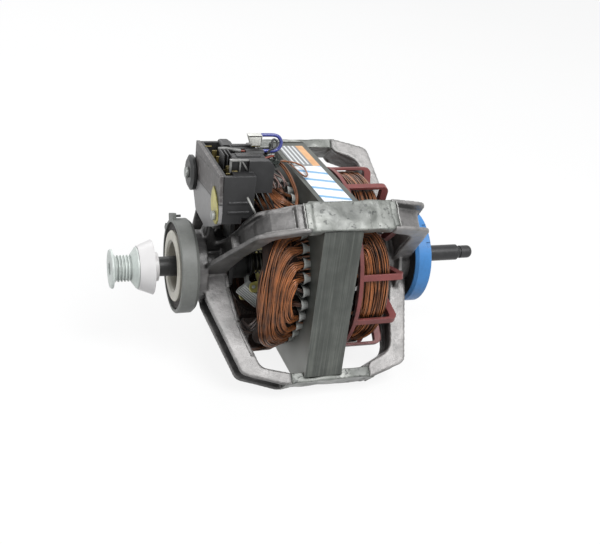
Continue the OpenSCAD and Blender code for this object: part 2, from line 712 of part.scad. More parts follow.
module shaft() color([0.22, 0.22, 0.22]) shaft_frame() {
    neck = shaft_tip - tip_len;
    turned(outline([
        [0, -shaft_front, 0], [shaft_r - 0.8, -shaft_front, 0], [shaft_r, -shaft_front + 0.8, 0],
        [shaft_r, blower_from, 0], [blower_r, blower_from, 0],
        [blower_r, neck - 3.6, 0], [blower_r - 1.2, neck - 2, 0], [groove_d / 2, neck - 2, 0],
        [groove_d / 2, neck, 0], [tip_d / 2, neck, 0], [tip_d / 2, shaft_tip, 3.4], [0, shaft_tip, 0]
    ]));
}

module rotor_core() color([0.33, 0.33, 0.34]) shaft_frame()
    tube(-half_stack, half_stack, shaft_r + fit, bore_r - air_gap);

module cage() {
    outer = bore_r - air_gap - 0.6;
    tube(half_stack, half_stack + cage_ring, outer - 13, outer);
    for (k = [0 : 11]) rotate([0, 0, 30 * k]) translate([outer - 12, -fin_t / 2, half_stack + cage_ring - 1])
        cube([10, fin_t, fin_len + 1]);
}
module front_cage() color([0.74, 0.75, 0.74]) shaft_frame() to_front() cage();
module rear_cage() color([0.74, 0.75, 0.74]) shaft_frame() cage();

module front_thrust_washer() color([0.15, 0.15, 0.15]) shaft_frame() to_front()
    tube(front_hub_in - 1 - loose - washer_t, front_hub_in - 1 - loose, shaft_r + fit, bearing_r);
module rear_thrust_washer() color([0.15, 0.15, 0.15]) shaft_frame()
    tube(rear_hub_in - 1 - loose - washer_t, rear_hub_in - 1 - loose, shaft_r + fit, bearing_r);

module spacer_sleeve() color([0.16, 0.16, 0.16]) shaft_frame() to_front() {
    tube(spacer_end, guard_hub_end, shaft_r + fit, spacer_d / 2 - 0.25);
    tube(spacer_end, guard_hub_end - 8, shaft_r + fit, spacer_d / 2);
}

module drive_pulley() color([0.80, 0.83, 0.81]) shaft_frame() to_front() {
    root = rib_d / 2 - rib_depth;
    crest = rib_d / 2;
    ribs_from = pulley_face - flange_t;
    teeth = [for (k = [0 : rib_count - 1]) each [
        [crest, ribs_from - (k + 0.2) * rib_pitch], [crest, ribs_from - (k + 0.45) * rib_pitch],
        [root, ribs_from - (k + 0.75) * rib_pitch], [root, ribs_from - (k + 0.95) * rib_pitch]
    ]];
    turned(concat(
        [[pulley_hole_d / 2, pulley_face], [flange_d / 2 - 0.6, pulley_face], [flange_d / 2, pulley_face - 0.8],
         [flange_d / 2, pulley_face - 1.8], [crest + 0.6, ribs_from]],
        teeth,
        [[crest + 0.3, rib_end], [cone_d / 2, cone_end + 1], [cone_d / 2, cone_end], [shaft_r + fit, cone_end],
         [shaft_r + fit, shaft_front + fit], [pulley_hole_d / 2, shaft_front + fit]]
    ));
}

module belt_guard() color([0.92, 0.92, 0.90]) shaft_frame() to_front() {
    small = cone_d / 2 + 0.8;
    turned([
        [shaft_r + fit, cone_end - fit], [small, cone_end - fit], [guard_d / 2, guard_end],
        [guard_d / 2 - guard_wall, guard_end], [small - guard_wall, cone_end - fit - 2],
        [guard_hub_r, cone_end - fit - 2.4], [guard_hub_r, guard_hub_end], [shaft_r + fit, guard_hub_end]
    ]);
}

// Governor on the shaft, in front of the rotor
module governor_frame() shaft_frame() to_front() rotate([0, 0, governor_turn]) children();

module governor_base() color([0.80, 0.76, 0.48]) governor_frame() difference() {
    ear_reach = pin_z + 4;
    union() {
        translate([0, 0, base_from]) cylinder(h = base_t, r = base_r);
        translate([0, 0, base_from - 4]) cylinder(h = 4 + base_t, r = 9);
        translate([-ear_reach, -ear_gap - ear_t, base_from])
            cube([2 * ear_reach, 2 * (ear_gap + ear_t), base_t]);
        for (end = [0, 1], side = [-1, 1]) mirror([end, 0, 0]) radial_plate(outline([
            [pin_z - 6, base_from, 0], [ear_reach, base_from, 0], [ear_reach, pin_x + 3, 3],
            [pin_z - 3, pin_x + 3, 3], [pin_z - 6, base_from + 5, 2]
        ]), ear_t, side * (ear_gap + ear_t / 2));
    }
    translate([0, 0, base_from - 5]) cylinder(h = base_t + 6, r = shaft_r + fit);
    for (end = [-1, 1]) translate([end * pin_z, weight_w, pin_x]) rotate([90, 0, 0])
        cylinder(h = 2 * weight_w, r = pin_r + fit);
}

module governor_pins() color([0.75, 0.75, 0.75]) governor_frame()
    for (end = [-1, 1]) translate([end * pin_z, ear_gap + ear_t + 0.8, pin_x]) rotate([90, 0, 0])
        cylinder(h = 2 * (ear_gap + ear_t + 0.8), r = pin_r);

module weight_plate() difference() {
    translate([0, weight_w / 2, 0]) rotate([90, 0, 0]) linear_extrude(weight_w) polygon(outline([
        [-weight_t / 2, -weight_back, 1], [weight_t / 2, -weight_back, 2],
        [weight_t / 2, weight_front, 1], [-weight_t / 2, weight_front, 1]
    ]));
    for (k = [0 : groove[0] - 1])
        translate([weight_t / 2 - groove[3], (k - (groove[0] - 1) / 2) * groove[1] - groove[2] / 2, -weight_back - 1])
            cube([groove[3] + 1, groove[2], weight_back + weight_front + 2]);
}
module weight(end) governor_frame() mirror([end, 0, 0]) difference() {
    union() {
        translate([pin_z, 0, pin_x]) rotate([0, -weight_slant, 0]) weight_plate();
        translate([finger_z, -4, pin_x - finger_t / 2]) cube([pin_z - finger_z, 8, finger_t]);
    }
    translate([pin_z, weight_w, pin_x]) rotate([90, 0, 0]) cylinder(h = 2 * weight_w, r = pin_r + run);
}
module weight_upper() color([0.70, 0.72, 0.71]) weight(0);
module weight_lower() color([0.70, 0.72, 0.71]) weight(1);

module governor_collar() color([0.14, 0.14, 0.14]) shaft_frame() to_front() turned(outline([
    [shaft_r + 0.08, pin_x - collar_groove - collar_lip, 0],
    [collar_r - 0.6, pin_x - collar_groove - collar_lip, 0.5],
    [collar_r - 0.6, pin_x - collar_groove, 0.5], [collar_groove_r, pin_x - collar_groove, 0],
    [collar_groove_r, pin_x + collar_groove, 0], [collar_body_r, pin_x + collar_groove, 0.5],
    [collar_body_r, collar_face - 2.6, 0], [collar_r, collar_face - 2, 0], [collar_r, collar_face, 0],
    [shaft_r + 0.08, collar_face, 0]
]));

// Spring between the base and the collar
spring_from = base_from + base_t + loose + spring_wire / 2;
spring_to = pin_x - collar_groove - collar_lip - loose - spring_wire / 2;
spring_rings = 8;
spring_steps = spring_turns * spring_rings;
spring_path = [
    for (i = [0 : spring_steps])
        let (a = 360 * i / spring_rings)
        [spring_r * cos(a), spring_r * sin(a), spring_from + (spring_to - spring_from) * i / spring_steps]
];
echo(spring_gap = least_gap(spring_path, spring_wire, 3));
echo(pressed_spring_gap = (spring_to - spring_from - collar_travel) / spring_turns - spring_wire);
module governor_spring() color([0.70, 0.70, 0.70]) shaft_frame() to_front()
    swept(spring_path, [for (p = spring_path) [0, 0, 1]], spring_wire, 6);

module shell_box(size, wall) difference() {
    cube(size);
    translate([wall, wall, wall]) cube([size[0] - 2 * wall, size[1] - 2 * wall, size[2]]);
}

// A block across the shaft, from an outline of [axial place, height]
module side_block(pts, from, to) translate([0, to, 0]) rotate([90, 0, 0]) linear_extrude(to - from) polygon(pts);

// An insulated connector lying along the shaft on the switch's back part
module bar(from, to, y0, y1) translate([from, 0, 0]) rotate([90, 0, 90]) linear_extrude(to - from)
    polygon(outline([[y0, bar_low - 1, 0], [y1, bar_low - 1, 0], [y1, bar_top, 2], [y0, bar_top, 2]]));

module switch_housing() color([0.16, 0.16, 0.17]) motor_frame() difference() {
    union() {
        translate([-housing_front, -plate_edge, switch_floor])
            shell_box([housing_in, switch_w, switch_top - switch_floor], switch_wall);
        side_block(outline([
            [block_in + 9, switch_floor + 1, 0], [block_in + 9, block_top, 1], [block_out - 4, block_top, 3],
            [block_out, block_top - 4, 2], [block_out, block_low, 0], [block_skirt, block_low, 0],
            [block_skirt, switch_floor + 1, 0]
        ]), -30, -25);
        side_block([
            [block_in, switch_floor + 1], [block_in, bar_low], [block_out, bar_low], [block_out, block_low],
            [block_skirt, block_low], [block_skirt, switch_floor + 1]
        ], -26, 12);
        bar(block_in, block_out - 3, bar_y[0], bar_y[1]);
        bar(block_in + 14, block_out, mid_bar[0], mid_bar[1]);
        bar(block_in + 5, block_out - 4, bar_y[2], bar_y[3]);
        translate([shelf[0], -plate_edge + 1, switch_top - 4]) cube([13, shelf[1] + plate_edge - 1, 4]);
        for (z = [switch_floor + 8, switch_floor + 15]) translate([-72, -plate_edge - 0.8, z]) cube([15, 2, 1.2]);
        side_block(outline([
            [-63.5, switch_floor + 1, 0], [-63.5, switch_top + 1.6, 2], [-55, switch_top + 1.6, 3],
            [-housing_back, switch_top - 3, 0], [-housing_back, switch_floor + 1, 0]
        ]), 19, switch_far);
        for (side = [-1, 1]) translate([-lever_x - lever_t - 2, side * (ear_y + 1.4) - 1.4, lever_pivot_z - 3.4])
            cube([7, 2.8, switch_floor - lever_pivot_z + 5]);
    }
    translate([-lever_x - lever_t - 3, -ear_y, switch_floor - 1]) cube([9, 2 * ear_y, 7]);
    translate([-housing_front - 1, -plate_edge - 1, switch_top - 12]) cube([1.8, 1.9, 20]);
    for (side = [0, 1]) mirror([0, side, 0]) translate([-front_bend - 1.4, 31, switch_floor - 1])
        cube([9, 9, 5.2]);
    translate([-lever_x - lever_t / 2, 14, lever_pivot_z]) rotate([90, 0, 0])
        cylinder(h = 28, r = lever_pin_r + fit);
}

module plate_outline() polygon(outline([
    [-plate_edge, switch_top + 0.8, 1], [switch_far, switch_top + 0.8, 1], [switch_far, clip_z + 12, 1],
    [switch_far + 7, clip_z + 8, 3], [switch_far + 7, clip_z - 8, 3], [switch_far - 1, switch_floor - 4, 3],
    [21, switch_floor - 14.4, 4], [-8, switch_floor - 15.4, 3], [-28, switch_floor - 6, 3],
    [-plate_edge - 4, switch_floor + 2, 3], [-plate_edge - 4.6, switch_floor + 10, 6]
]));

module in_plate(x, t) translate([-x, 0, 0]) rotate([90, 0, 90]) linear_extrude(t) children();

module switch_plate() color([0.56, 0.54, 0.55]) motor_frame() difference() {
    in_plate(plate_x, plate_t) plate_outline();
    for (side = [-1, 1]) translate([-plate_x + 0.6, side * 14, bracket_top - 8]) rotate([0, 90, 0])
        cylinder(h = plate_t, r = 1.6 + fit);
}

module screw(x, y, z, length, head_r, r) translate([-x, y, z]) rotate([0, 90, 0]) {
    difference() {
        translate([0, 0, -2]) cylinder(h = 2, r = head_r);
        translate([-head_r, -0.4, -3]) cube([2 * head_r, 0.8, 1.8]);
    }
    translate([0, 0, -0.5]) cylinder(h = length + 0.5, r = r);
}

module plate_screws() color([0.75, 0.75, 0.72]) motor_frame()
    for (side = [-1, 1]) mirror([1, 0, 0])
        screw(-housing_front + 6, side * 14, bracket_top - 8, 5.4 + plate_t, 3, 1.6);

module terminal_blocks() color([0.19, 0.19, 0.20]) motor_frame() {
    floor_z = switch_floor + switch_wall + fit;
    translate([-housing_front + switch_wall + 1, -5, floor_z]) cube([3, 29, 20]);
    translate([block_in, 13, floor_z]) cube([9.5, 5.5, 30]);
}

module terminals() color([0.72, 0.62, 0.35]) motor_frame() {
    floor_z = switch_floor + switch_wall + fit;
    for (y = blade_y[0]) translate([-73, y, floor_z]) cube([5, blade_t, 27]);
    for (y = blade_y[1]) translate([-70, y, floor_z]) cube([3.6, blade_t, 29]);
    for (y = blade_y[2]) translate([-71, y, floor_z]) cube([4.4, blade_t, 33.5]);
}

module switch_lever() color([0.13, 0.13, 0.13]) motor_frame() difference() {
    union() {
        in_plate(lever_x + lever_t, lever_t) polygon(outline(fork));
        for (side = [-1, 1]) translate([-lever_x - lever_t, side * lever_foot[0], lever_foot[1]])
            rotate([0, 90, 0]) cylinder(h = lever_t, r = lever_foot[2]);
        translate([-lever_x - lever_t / 2, lever_half_w, lever_pivot_z]) rotate([90, 0, 0])
            cylinder(h = 2 * lever_half_w, r = 3);
    }
    translate([-lever_x - lever_t / 2, 20, lever_pivot_z]) rotate([90, 0, 0])
        cylinder(h = 40, r = lever_pin_r + run);
}

module lever_pin() color([0.75, 0.75, 0.75]) motor_frame()
    translate([-lever_x - lever_t / 2, ear_y + 3.2, lever_pivot_z]) rotate([90, 0, 0])
        cylinder(h = 2 * (ear_y + 3.2), r = lever_pin_r);

module ground_strap() color([0.78, 0.74, 0.42]) motor_frame() difference() {
    in_plate(plate_x + strap_t + fit, strap_t) polygon(outline(strap));
    translate([-plate_x - 3, strap_hole[0], strap_hole[1]]) rotate([0, 90, 0]) cylinder(h = 6, r = 1.9);
}
module ground_screw() color([0.80, 0.80, 0.78]) motor_frame()
    screw(plate_x + strap_t + 2 * fit, strap_hole[0], strap_hole[1], strap_t, 3.2, 1.8);

module protector_clip() color([0.15, 0.15, 0.15]) motor_frame() translate([-plate_x - fit, clip_y, clip_z]) {
    rotate([0, -90, 0]) difference() {
        turned([
            [0, 0], [clip_d / 2 - 0.8, 0], [clip_d / 2, 0.8], [clip_d / 2, clip_t - 1.6],
            [clip_d / 2 - 3, clip_t], [0, clip_t]
        ]);
        translate([0, 0, clip_t - 2.4]) cylinder(h = 4, r = 1.8 + fit);
    }
}
module protector_screw() color([0.80, 0.80, 0.80]) motor_frame()
    screw(plate_x + clip_t + 2 * fit, clip_y, clip_z, 2, 4, 1.8);

module winding_leads() color([0.58, 0.34, 0.18]) motor_frame()
    for (route = lead_routes) lead(route, lead_d, 8);

module lead_tie() color([0.12, 0.14, 0.12]) motor_frame() translate([-34.6, -3.2, 81.4]) rotate([0, 90, 0])
    difference() {
        cylinder(h = 3, r = 3.2);
        translate([0, 0, -1]) cylinder(h = 5, r = 2.3);
    }

module blue_lead() color([0.22, 0.28, 0.60]) motor_frame() lead(blue_route, blue_d, 8);

module lead_connector() color([0.82, 0.82, 0.78]) motor_frame() {
    size = connector_size;
    from = blue_route[len(blue_route) - 1];
    translate([from[0] - size[0], from[1] - size[1] / 2, from[2] - size[2] + 2]) difference() {
        union() {
            translate([0, 0, 2]) cube([size[0], size[1], size[2] - 2]);
            translate([1.6, 1, 0]) cube([size[0] - 1.6, size[1] - 2, 2.5]);
        }
        translate([3, 2, 3.2]) cube([4.4, size[1], size[2] - 5]);
    }
}

module label_plate() color([0.90, 0.92, 0.94]) motor_frame()
    translate([-label_w / 2 - 0.5, -label_len / 2 - 3.5, flat_r]) cube([label_w, label_len, label_t]);

stator_core();
slot_liners();
main_windings();
start_windings();
near_strands();
top_strands();
far_strands();
bottom_strands();
coil_frame();
corner_bonds();
front_shield();
rear_shield();
front_bearing();
rear_bearing();
front_felt();
rear_felt();
front_cap();
rear_cap();
front_rubber();
rear_rubber();
front_mounting_ring();
rear_mounting_ring();
ring_pin();
shaft();
rotor_core();
front_cage();
rear_cage();
front_thrust_washer();
rear_thrust_washer();
spacer_sleeve();
drive_pulley();
belt_guard();
governor_base();
governor_pins();
governor_spring();
governor_collar();
weight_upper();
weight_lower();
switch_housing();
switch_plate();
plate_screws();
terminal_blocks();
terminals();
switch_lever();
lever_pin();
ground_strap();
ground_screw();
protector_clip();
protector_screw();
winding_leads();
lead_tie();
blue_lead();
lead_connector();
label_plate();
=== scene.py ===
import math
import random

import bmesh
import bpy
import numpy as np
from mathutils import Matrix, Vector, noise


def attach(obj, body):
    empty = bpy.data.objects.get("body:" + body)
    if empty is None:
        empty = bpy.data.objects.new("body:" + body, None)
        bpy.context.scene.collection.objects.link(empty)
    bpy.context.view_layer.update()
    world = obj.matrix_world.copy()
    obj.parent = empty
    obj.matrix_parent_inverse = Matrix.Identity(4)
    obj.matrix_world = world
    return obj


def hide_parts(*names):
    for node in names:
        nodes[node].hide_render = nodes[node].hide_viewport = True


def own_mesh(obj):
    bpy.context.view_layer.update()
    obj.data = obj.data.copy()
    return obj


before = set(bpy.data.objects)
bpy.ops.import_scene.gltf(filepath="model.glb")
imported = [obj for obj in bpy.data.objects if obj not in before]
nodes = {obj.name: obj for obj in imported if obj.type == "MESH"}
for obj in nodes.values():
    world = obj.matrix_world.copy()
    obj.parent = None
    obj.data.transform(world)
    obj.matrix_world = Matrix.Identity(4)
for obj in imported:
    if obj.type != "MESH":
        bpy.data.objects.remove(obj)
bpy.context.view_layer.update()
scene = bpy.context.scene
scene.view_settings.view_transform = "Standard"

# Lengths below are millimetres in the motor's own axes: X along the shaft from the stack's middle
# towards the blower end, Z up from the shaft. MID_X and DROP carry them to the row frame.
MM = 0.001
MID_X = 2.05
DROP = 75.943
HALF_STACK = 14.2
FLAT_R = 73.3


def place(p):
    """Points in the motor's axes, in millimetres, as points of the row frame in metres."""
    return (np.asarray(p, float) + (-MID_X, 0, DROP)) * MM


def polar(r, angle, x):
    """Radius, angle in degrees from the top towards the near side, and place along the shaft."""
    a = np.radians(angle)
    return np.stack(np.broadcast_arrays(x, -r * np.sin(a), r * np.cos(a)), -1)


def make_camera():
    """A camera where the photograph was taken from. Its angles are in radians."""
    azimuth, elevation, roll = -0.385649, 0.470655, 0.127872
    right = Vector((math.cos(azimuth), math.sin(azimuth), 0))
    back = Vector((math.sin(azimuth) * math.cos(elevation), -math.cos(azimuth) * math.cos(elevation),
                   math.sin(elevation)))
    up = back.cross(right)
    across = math.cos(roll) * right + math.sin(roll) * up
    upward = -math.sin(roll) * right + math.cos(roll) * up
    turn = Matrix((across, upward, back)).transposed().to_4x4()
    stand = place((-231.8, -574.3, 304.5))
    camera = bpy.data.objects.new("camera", bpy.data.cameras.new("camera"))
    camera.data.lens = 54
    camera.data.sensor_width = 36
    camera.matrix_world = Matrix.Translation(stand) @ turn
    scene.collection.objects.link(camera)
    scene.camera = camera


make_camera()


# Materials

class Nodes:
    """A small hand for building the nodes of a material or world. Sizes are in millimetres."""

    def __init__(self, name, owner=None):
        self.owner = owner or bpy.data.materials.new(name)
        self.owner.use_nodes = True
        self.tree = self.owner.node_tree

    def add(self, kind, inputs=None, **settings):
        node = self.tree.nodes.new("ShaderNode" + kind)
        for key, value in settings.items():
            setattr(node, key, value)
        for key, value in (inputs or {}).items():
            self.feed(node.inputs[key], value)
        return node

    def feed(self, socket, value):
        if isinstance(value, bpy.types.NodeSocket):
            self.tree.links.new(value, socket)
        else:
            socket.default_value = value

    def math(self, operation, a, b=0.0, clamp=False):
        return self.add("Math", {0: a, 1: b}, operation=operation, use_clamp=clamp).outputs[0]

    def plus(self, a, b):
        return self.math("ADD", a, b)

    def minus(self, a, b):
        return self.math("SUBTRACT", a, b)

    def times(self, a, b):
        return self.math("MULTIPLY", a, b)

    def above(self, value, limit):
        return self.math("GREATER_THAN", value, limit)

    def below(self, value, limit):
        return self.math("LESS_THAN", value, limit)

    def close(self, value, middle, within):
        """1 where the value is nearer than that to the middle, 0 elsewhere."""
        return self.below(self.math("ABSOLUTE", self.minus(value, middle)), within)

    def cycle(self, value, period):
        """The value's place within its period, from 0 to 1."""
        return self.math("FRACT", self.math("DIVIDE", value, period))

    def blend(self, a, b, share):
        """The share of a and the rest of b."""
        return self.plus(self.times(a, share), self.times(b, 1 - share))

    def mix(self, share, a, b, blend="MIX"):
        node = self.add("Mix", {"Factor": share, 6: a, 7: b}, data_type="RGBA", blend_type=blend)
        return node.outputs[2]

    def coords(self):
        return self.add("TexCoord").outputs["Object"]

    def axes(self):
        return tuple(self.add("SeparateXYZ", {"Vector": self.coords()}).outputs)

    def stretched(self, scale):
        return self.add("Mapping", {"Vector": self.coords(), "Scale": scale}).outputs[0]

    def noise(self, size, detail=3.0, rough=0.55, vector=None):
        """Noise with features about that size."""
        inputs = {"Scale": 1 / (size * MM), "Detail": detail, "Roughness": rough}
        return self.add("TexNoise", {"Vector": vector or self.coords(), **inputs}).outputs["Fac"]

    def ramp(self, value, *stops):
        node = self.add("ValToRGB", {"Fac": value})
        while len(node.color_ramp.elements) < len(stops):
            node.color_ramp.elements.new(0.5)
        for element, (position, colour) in zip(node.color_ramp.elements, stops):
            element.position = position
            element.color = colour
        return node.outputs["Color"]

    def spread(self, value, low, high, to_low, to_high):
        node = self.add("MapRange", {
            "Value": value, "From Min": low, "From Max": high, "To Min": to_low, "To Max": to_high})
        return node.outputs[0]

    def edges(self, radius):
        """1 at edges sharper than that radius, 0 on flat faces, and the normal of rounded edges."""
        bevel = self.add("Bevel", {"Radius": radius * MM}, samples=4)
        normal = self.add("NewGeometry").outputs["Normal"]
        dot = self.add("VectorMath", {0: bevel.outputs[0], 1: normal}, operation="DOT_PRODUCT")
        return self.spread(dot.outputs["Value"], 0.995, 0.88, 0.0, 1.0), bevel.outputs[0]

    def with_painted_shade(self, colour, reach, darkest, low=0.3, high=0.95):
        """The colour, painted darker as shade down to its darkest share in recesses narrower than reach."""
        openness = self.add("AmbientOcclusion", {"Distance": reach * MM}, samples=6).outputs["AO"]
        return self.mix(1.0, colour, self.spread(openness, low, high, darkest, 1.0), "MULTIPLY")

    def worn(self, colour, edge, size, patches, share, bright):
        """The colour, with the bright tone along its edges in patches of that size. patches is
        where their noise begins and is full, and what is left between them."""
        patchy = self.spread(self.noise(size), *patches, 1.0)
        amount = self.math("MULTIPLY", self.times(edge, patchy), share, clamp=True)
        return self.mix(amount, colour, rgb(*bright))

    def bump(self, height, depth, normal=None):
        inputs = {"Height": height, "Distance": depth * MM, "Strength": 1.0}
        if normal is not None:
            inputs["Normal"] = normal
        return self.add("Bump", inputs).outputs[0]

    def finish(self, colour, rough, metal=0.0, normal=None, **constants):
        sockets = self.tree.nodes["Principled BSDF"].inputs
        self.feed(sockets["Base Color"], colour)
        self.feed(sockets["Roughness"], rough)
        sockets["Metallic"].default_value = metal
        if normal is not None:
            self.feed(sockets["Normal"], normal)
        for key, value in constants.items():
            sockets[key.replace("_", " ")].default_value = value
        return self.owner

    def seen_by(self, shader, backdrop, output):
        """Shows the backdrop shader to the camera, in reflections and through clear pieces, and
        lights the object with the other."""
        rays = self.add("LightPath").outputs
        direct = self.math("MAXIMUM", rays["Is Camera Ray"], rays["Is Glossy Ray"])
        direct = self.math("MAXIMUM", direct, rays["Is Transmission Ray"])
        mixed = self.add("MixShader", {0: direct, 1: shader.outputs[0], 2: backdrop.outputs[0]})
        self.feed(self.tree.nodes[output].inputs["Surface"], mixed.outputs[0])


def rgb(r, g, b, share=1.0):
    """A colour as seen, from 0 to 255, for a shader."""
    def linear(v):
        v = min(v * share, 255) / 255
        return v / 12.92 if v <= 0.04045 else ((v + 0.055) / 1.055) ** 2.4
    return (linear(r), linear(g), linear(b), 1.0)


def plain_surface(name, tone, rough, metal, vary, wear, bright, shade, size=14, grain=0.6,
                  depth=0.05, round_edge=0.5, reach=10, **constants):
    """A surface whose tone varies by the share vary, in patches of that size and finely, with a
    grain of that depth, rounded edges, and wear that shows the bright tone along them. shade is
    the share of its tone left deep in recesses narrower than reach, as painted shade."""
    n = Nodes(name)
    fine = n.noise(grain * 3)
    level = n.blend(n.noise(size, 4.0), fine, 0.7)
    colour = n.ramp(level, (0.3, rgb(*tone, 1 - vary)), (0.7, rgb(*tone, 1 + vary)))
    if shade < 1:
        colour = n.with_painted_shade(colour, reach, shade, low=0.25)
    edge, normal = n.edges(round_edge)
    if wear:
        colour = n.worn(colour, edge, size * 0.3, (0.3, 0.6, 0.25), wear, bright)
    roughness = n.spread(fine, 0.3, 0.7, rough - 0.06, rough + 0.08)
    height = n.blend(n.noise(grain, 2.0), fine, 0.5)
    return n.finish(colour, roughness, metal, n.bump(height, depth, normal), **constants)


def cast_metal(name, tone):
    """Cast aluminium: mottled and stained, with a fine sandy skin, smears of varnish and bright
    worn edges. It is painted darker as shade in its recesses, and as shade with some dirt in the
    channels of the front arms and towards the top of the front hub. It is paler at the rear."""
    hub_from = -60 * MM
    n = Nodes(name)
    x, y, z = n.axes()
    up = n.minus(z, DROP * MM)
    broad = n.noise(24, 4.0, 0.6)
    flow = n.noise(6, 4.0, 0.65, n.stretched((0.6, 1.5, 1.5)))
    colour = n.ramp(n.blend(broad, flow, 0.5), (0.30, rgb(*tone, 0.66)), (0.45, rgb(*tone, 0.90)),
                    (0.56, rgb(*tone, 1.04)), (0.70, rgb(*tone, 1.22)))
    smear = n.spread(n.noise(11, 3.0, 0.6), 0.52, 0.66, 0.0, 0.45)
    colour = n.mix(smear, colour, rgb(74, 76, 74))
    colour = n.with_painted_shade(colour, 24, 0.28)
    # The arms lie on the diagonals: aside is the distance from their middle, times the root of 2.
    aside = n.math("MINIMUM", n.math("ABSOLUTE", n.plus(y, up)), n.math("ABSOLUTE", n.minus(y, up)))
    # Painted shade with some dirt: the channels of the front arms are darkened.
    channel = n.spread(aside, 8.2 * MM, 9.6 * MM, 0.68, 1.0)
    paler = n.times(n.above(x, 0.0), 1.22)
    colour = n.mix(1.0, colour, n.math("MAXIMUM", channel, paler), "MULTIPLY")
    # Painted shade with some dirt: darker towards the top of the front hub, under the switch.
    hub_shade_and_dirt = n.spread(up, 2 * MM, 28 * MM, 1.0, 0.66)
    colour = n.mix(1.0, colour, n.math("MAXIMUM", hub_shade_and_dirt, n.above(x, hub_from)), "MULTIPLY")
    edge, normal = n.edges(0.9)
    colour = n.worn(colour, edge, 4, (0.38, 0.60, 0.0), 0.85, (214, 213, 210))
    height = n.blend(n.noise(0.9, 2.0), n.noise(3.4), 0.35)
    rough = n.spread(flow, 0.3, 0.7, 0.30, 0.52)
    return n.finish(colour, rough, 0.3, n.bump(height, 0.35, normal), Coat_Weight=0.25, Coat_Roughness=0.3)


def varnished_bond(name):
    """Poured metal and varnish over a corner of the stack: grey in broad patches and a little
    glossy, with dark pits, fine cracks and paler edges. It is painted darker as shade in its
    recesses."""
    n = Nodes(name)
    broad = n.noise(20, 3.0, 0.5, n.stretched((0.7, 1.3, 1.3)))
    colour = n.ramp(broad, (0.34, rgb(84, 87, 83)), (0.52, rgb(118, 121, 116)), (0.68, rgb(152, 154, 149)))
    pits = n.spread(n.noise(4.2, 2.0), 0.62, 0.68, 0.0, 0.8)
    colour = n.mix(pits, colour, rgb(48, 52, 50))
    from_crack = n.math("ABSOLUTE", n.minus(n.noise(15, 2.0), 0.5))
    colour = n.mix(n.spread(from_crack, 0.0, 0.012, 0.5, 0.0), colour, rgb(62, 64, 62))
    colour = n.with_painted_shade(colour, 9, 0.45)
    edge, normal = n.edges(1.1)
    colour = n.worn(colour, edge, 5, (0.42, 0.62, 0.0), 0.5, (176, 178, 174))
    height = n.minus(n.times(n.noise(5, 2.0), 0.7), n.times(pits, 0.4))
    rough = n.spread(n.noise(8, 2.0), 0.35, 0.65, 0.32, 0.5)
    return n.finish(colour, rough, 0.1, n.bump(height, 0.55, normal), Coat_Weight=0.2, Coat_Roughness=0.3)


def laminated(name):
    """Edges of stacked steel sheets: fine stripes across the shaft, with streaks and bare spots.
    It is painted darker as shade in recesses, and faces that look to the front are painted
    paler low down as light."""
    sheet = 0.9 * MM
    n = Nodes(name)
    x, y, z = n.axes()
    sheets = n.noise(1.0, 2.0, 0.6, n.stretched((1.7, 0.02, 0.02)))
    streaks = n.noise(9, 3.0, 0.6, n.stretched((3.2, 0.12, 0.12)))
    level = n.blend(sheets, streaks, 0.45)
    colour = n.ramp(level, (0.30, rgb(66, 68, 65)), (0.5, rgb(88, 91, 87)), (0.72, rgb(122, 125, 119)))
    patch = n.ramp(n.noise(16, 4.0), (0.38, rgb(196, 198, 196)), (0.62, (1, 1, 1, 1)))
    colour = n.mix(0.55, colour, patch, "MULTIPLY")
    colour = n.with_painted_shade(colour, 12, 0.4)
    # Painted light: faces that look to the front are paler low down.
    normal_x = n.add("SeparateXYZ", {"Vector": n.add("NewGeometry").outputs["Normal"]}).outputs[0]
    low = n.spread(z, 10 * MM, 60 * MM, 0.9, 0.0)
    colour = n.mix(n.times(n.below(normal_x, -0.6), low), colour, rgb(184, 186, 182))
    edge, normal = n.edges(0.35)
    colour = n.mix(n.times(edge, 0.35), colour, rgb(168, 170, 168))
    cut = n.math("SINE", n.times(x, 2 * math.pi / sheet))
    height = n.plus(n.times(cut, 0.18), sheets)
    return n.finish(colour, n.spread(streaks, 0.3, 0.7, 0.42, 0.62), 0.25, n.bump(height, 0.10, normal))


def copper(name, light, dark):
    """Enamelled wire: each strand has its own tone, painted darker between its neighbours as
    shade, with patches and stains of varnish."""
    n = Nodes(name)
    tone = n.add("Attribute", attribute_name="strand").outputs["Fac"]
    patch = n.noise(7)
    level = n.blend(tone, patch, 0.5)
    colour = n.ramp(level, (0.26, rgb(*dark)), (0.46, rgb(*light, 0.80)), (0.74, rgb(*light, 1.16)))
    stain = n.spread(n.noise(20, 2.0), 0.55, 0.72, 0.0, 0.45)
    colour = n.mix(stain, colour, rgb(*dark, 0.9))
    colour = n.with_painted_shade(colour, 4.5, 0.10, 0.2, 0.9)
    rough = n.spread(patch, 0.3, 0.7, 0.28, 0.46)
    return n.finish(colour, rough, 0.4, n.bump(n.noise(0.7, 2.0), 0.04), Coat_Weight=0.3, Coat_Roughness=0.25)


def wound_copper(name, light, dark):
    """The body of a coil under its outer wires: grooves that follow the turns."""
    pitch = 1.3 * MM
    n = Nodes(name)
    x, y, z = n.axes()
    up = n.minus(z, DROP * MM)
    r = n.math("SQRT", n.plus(n.times(y, y), n.times(up, up)))
    wobble = n.times(n.noise(10, 2.0), 2.2 * MM)
    turns = n.math("SINE", n.times(n.plus(n.plus(x, r), wobble), 2 * math.pi / pitch))
    level = n.plus(n.times(turns, 0.3), n.noise(6))
    colour = n.ramp(level, (0.25, rgb(*dark)), (0.75, rgb(*light)))
    return n.finish(colour, 0.7, 0.1, n.bump(turns, 0.35))


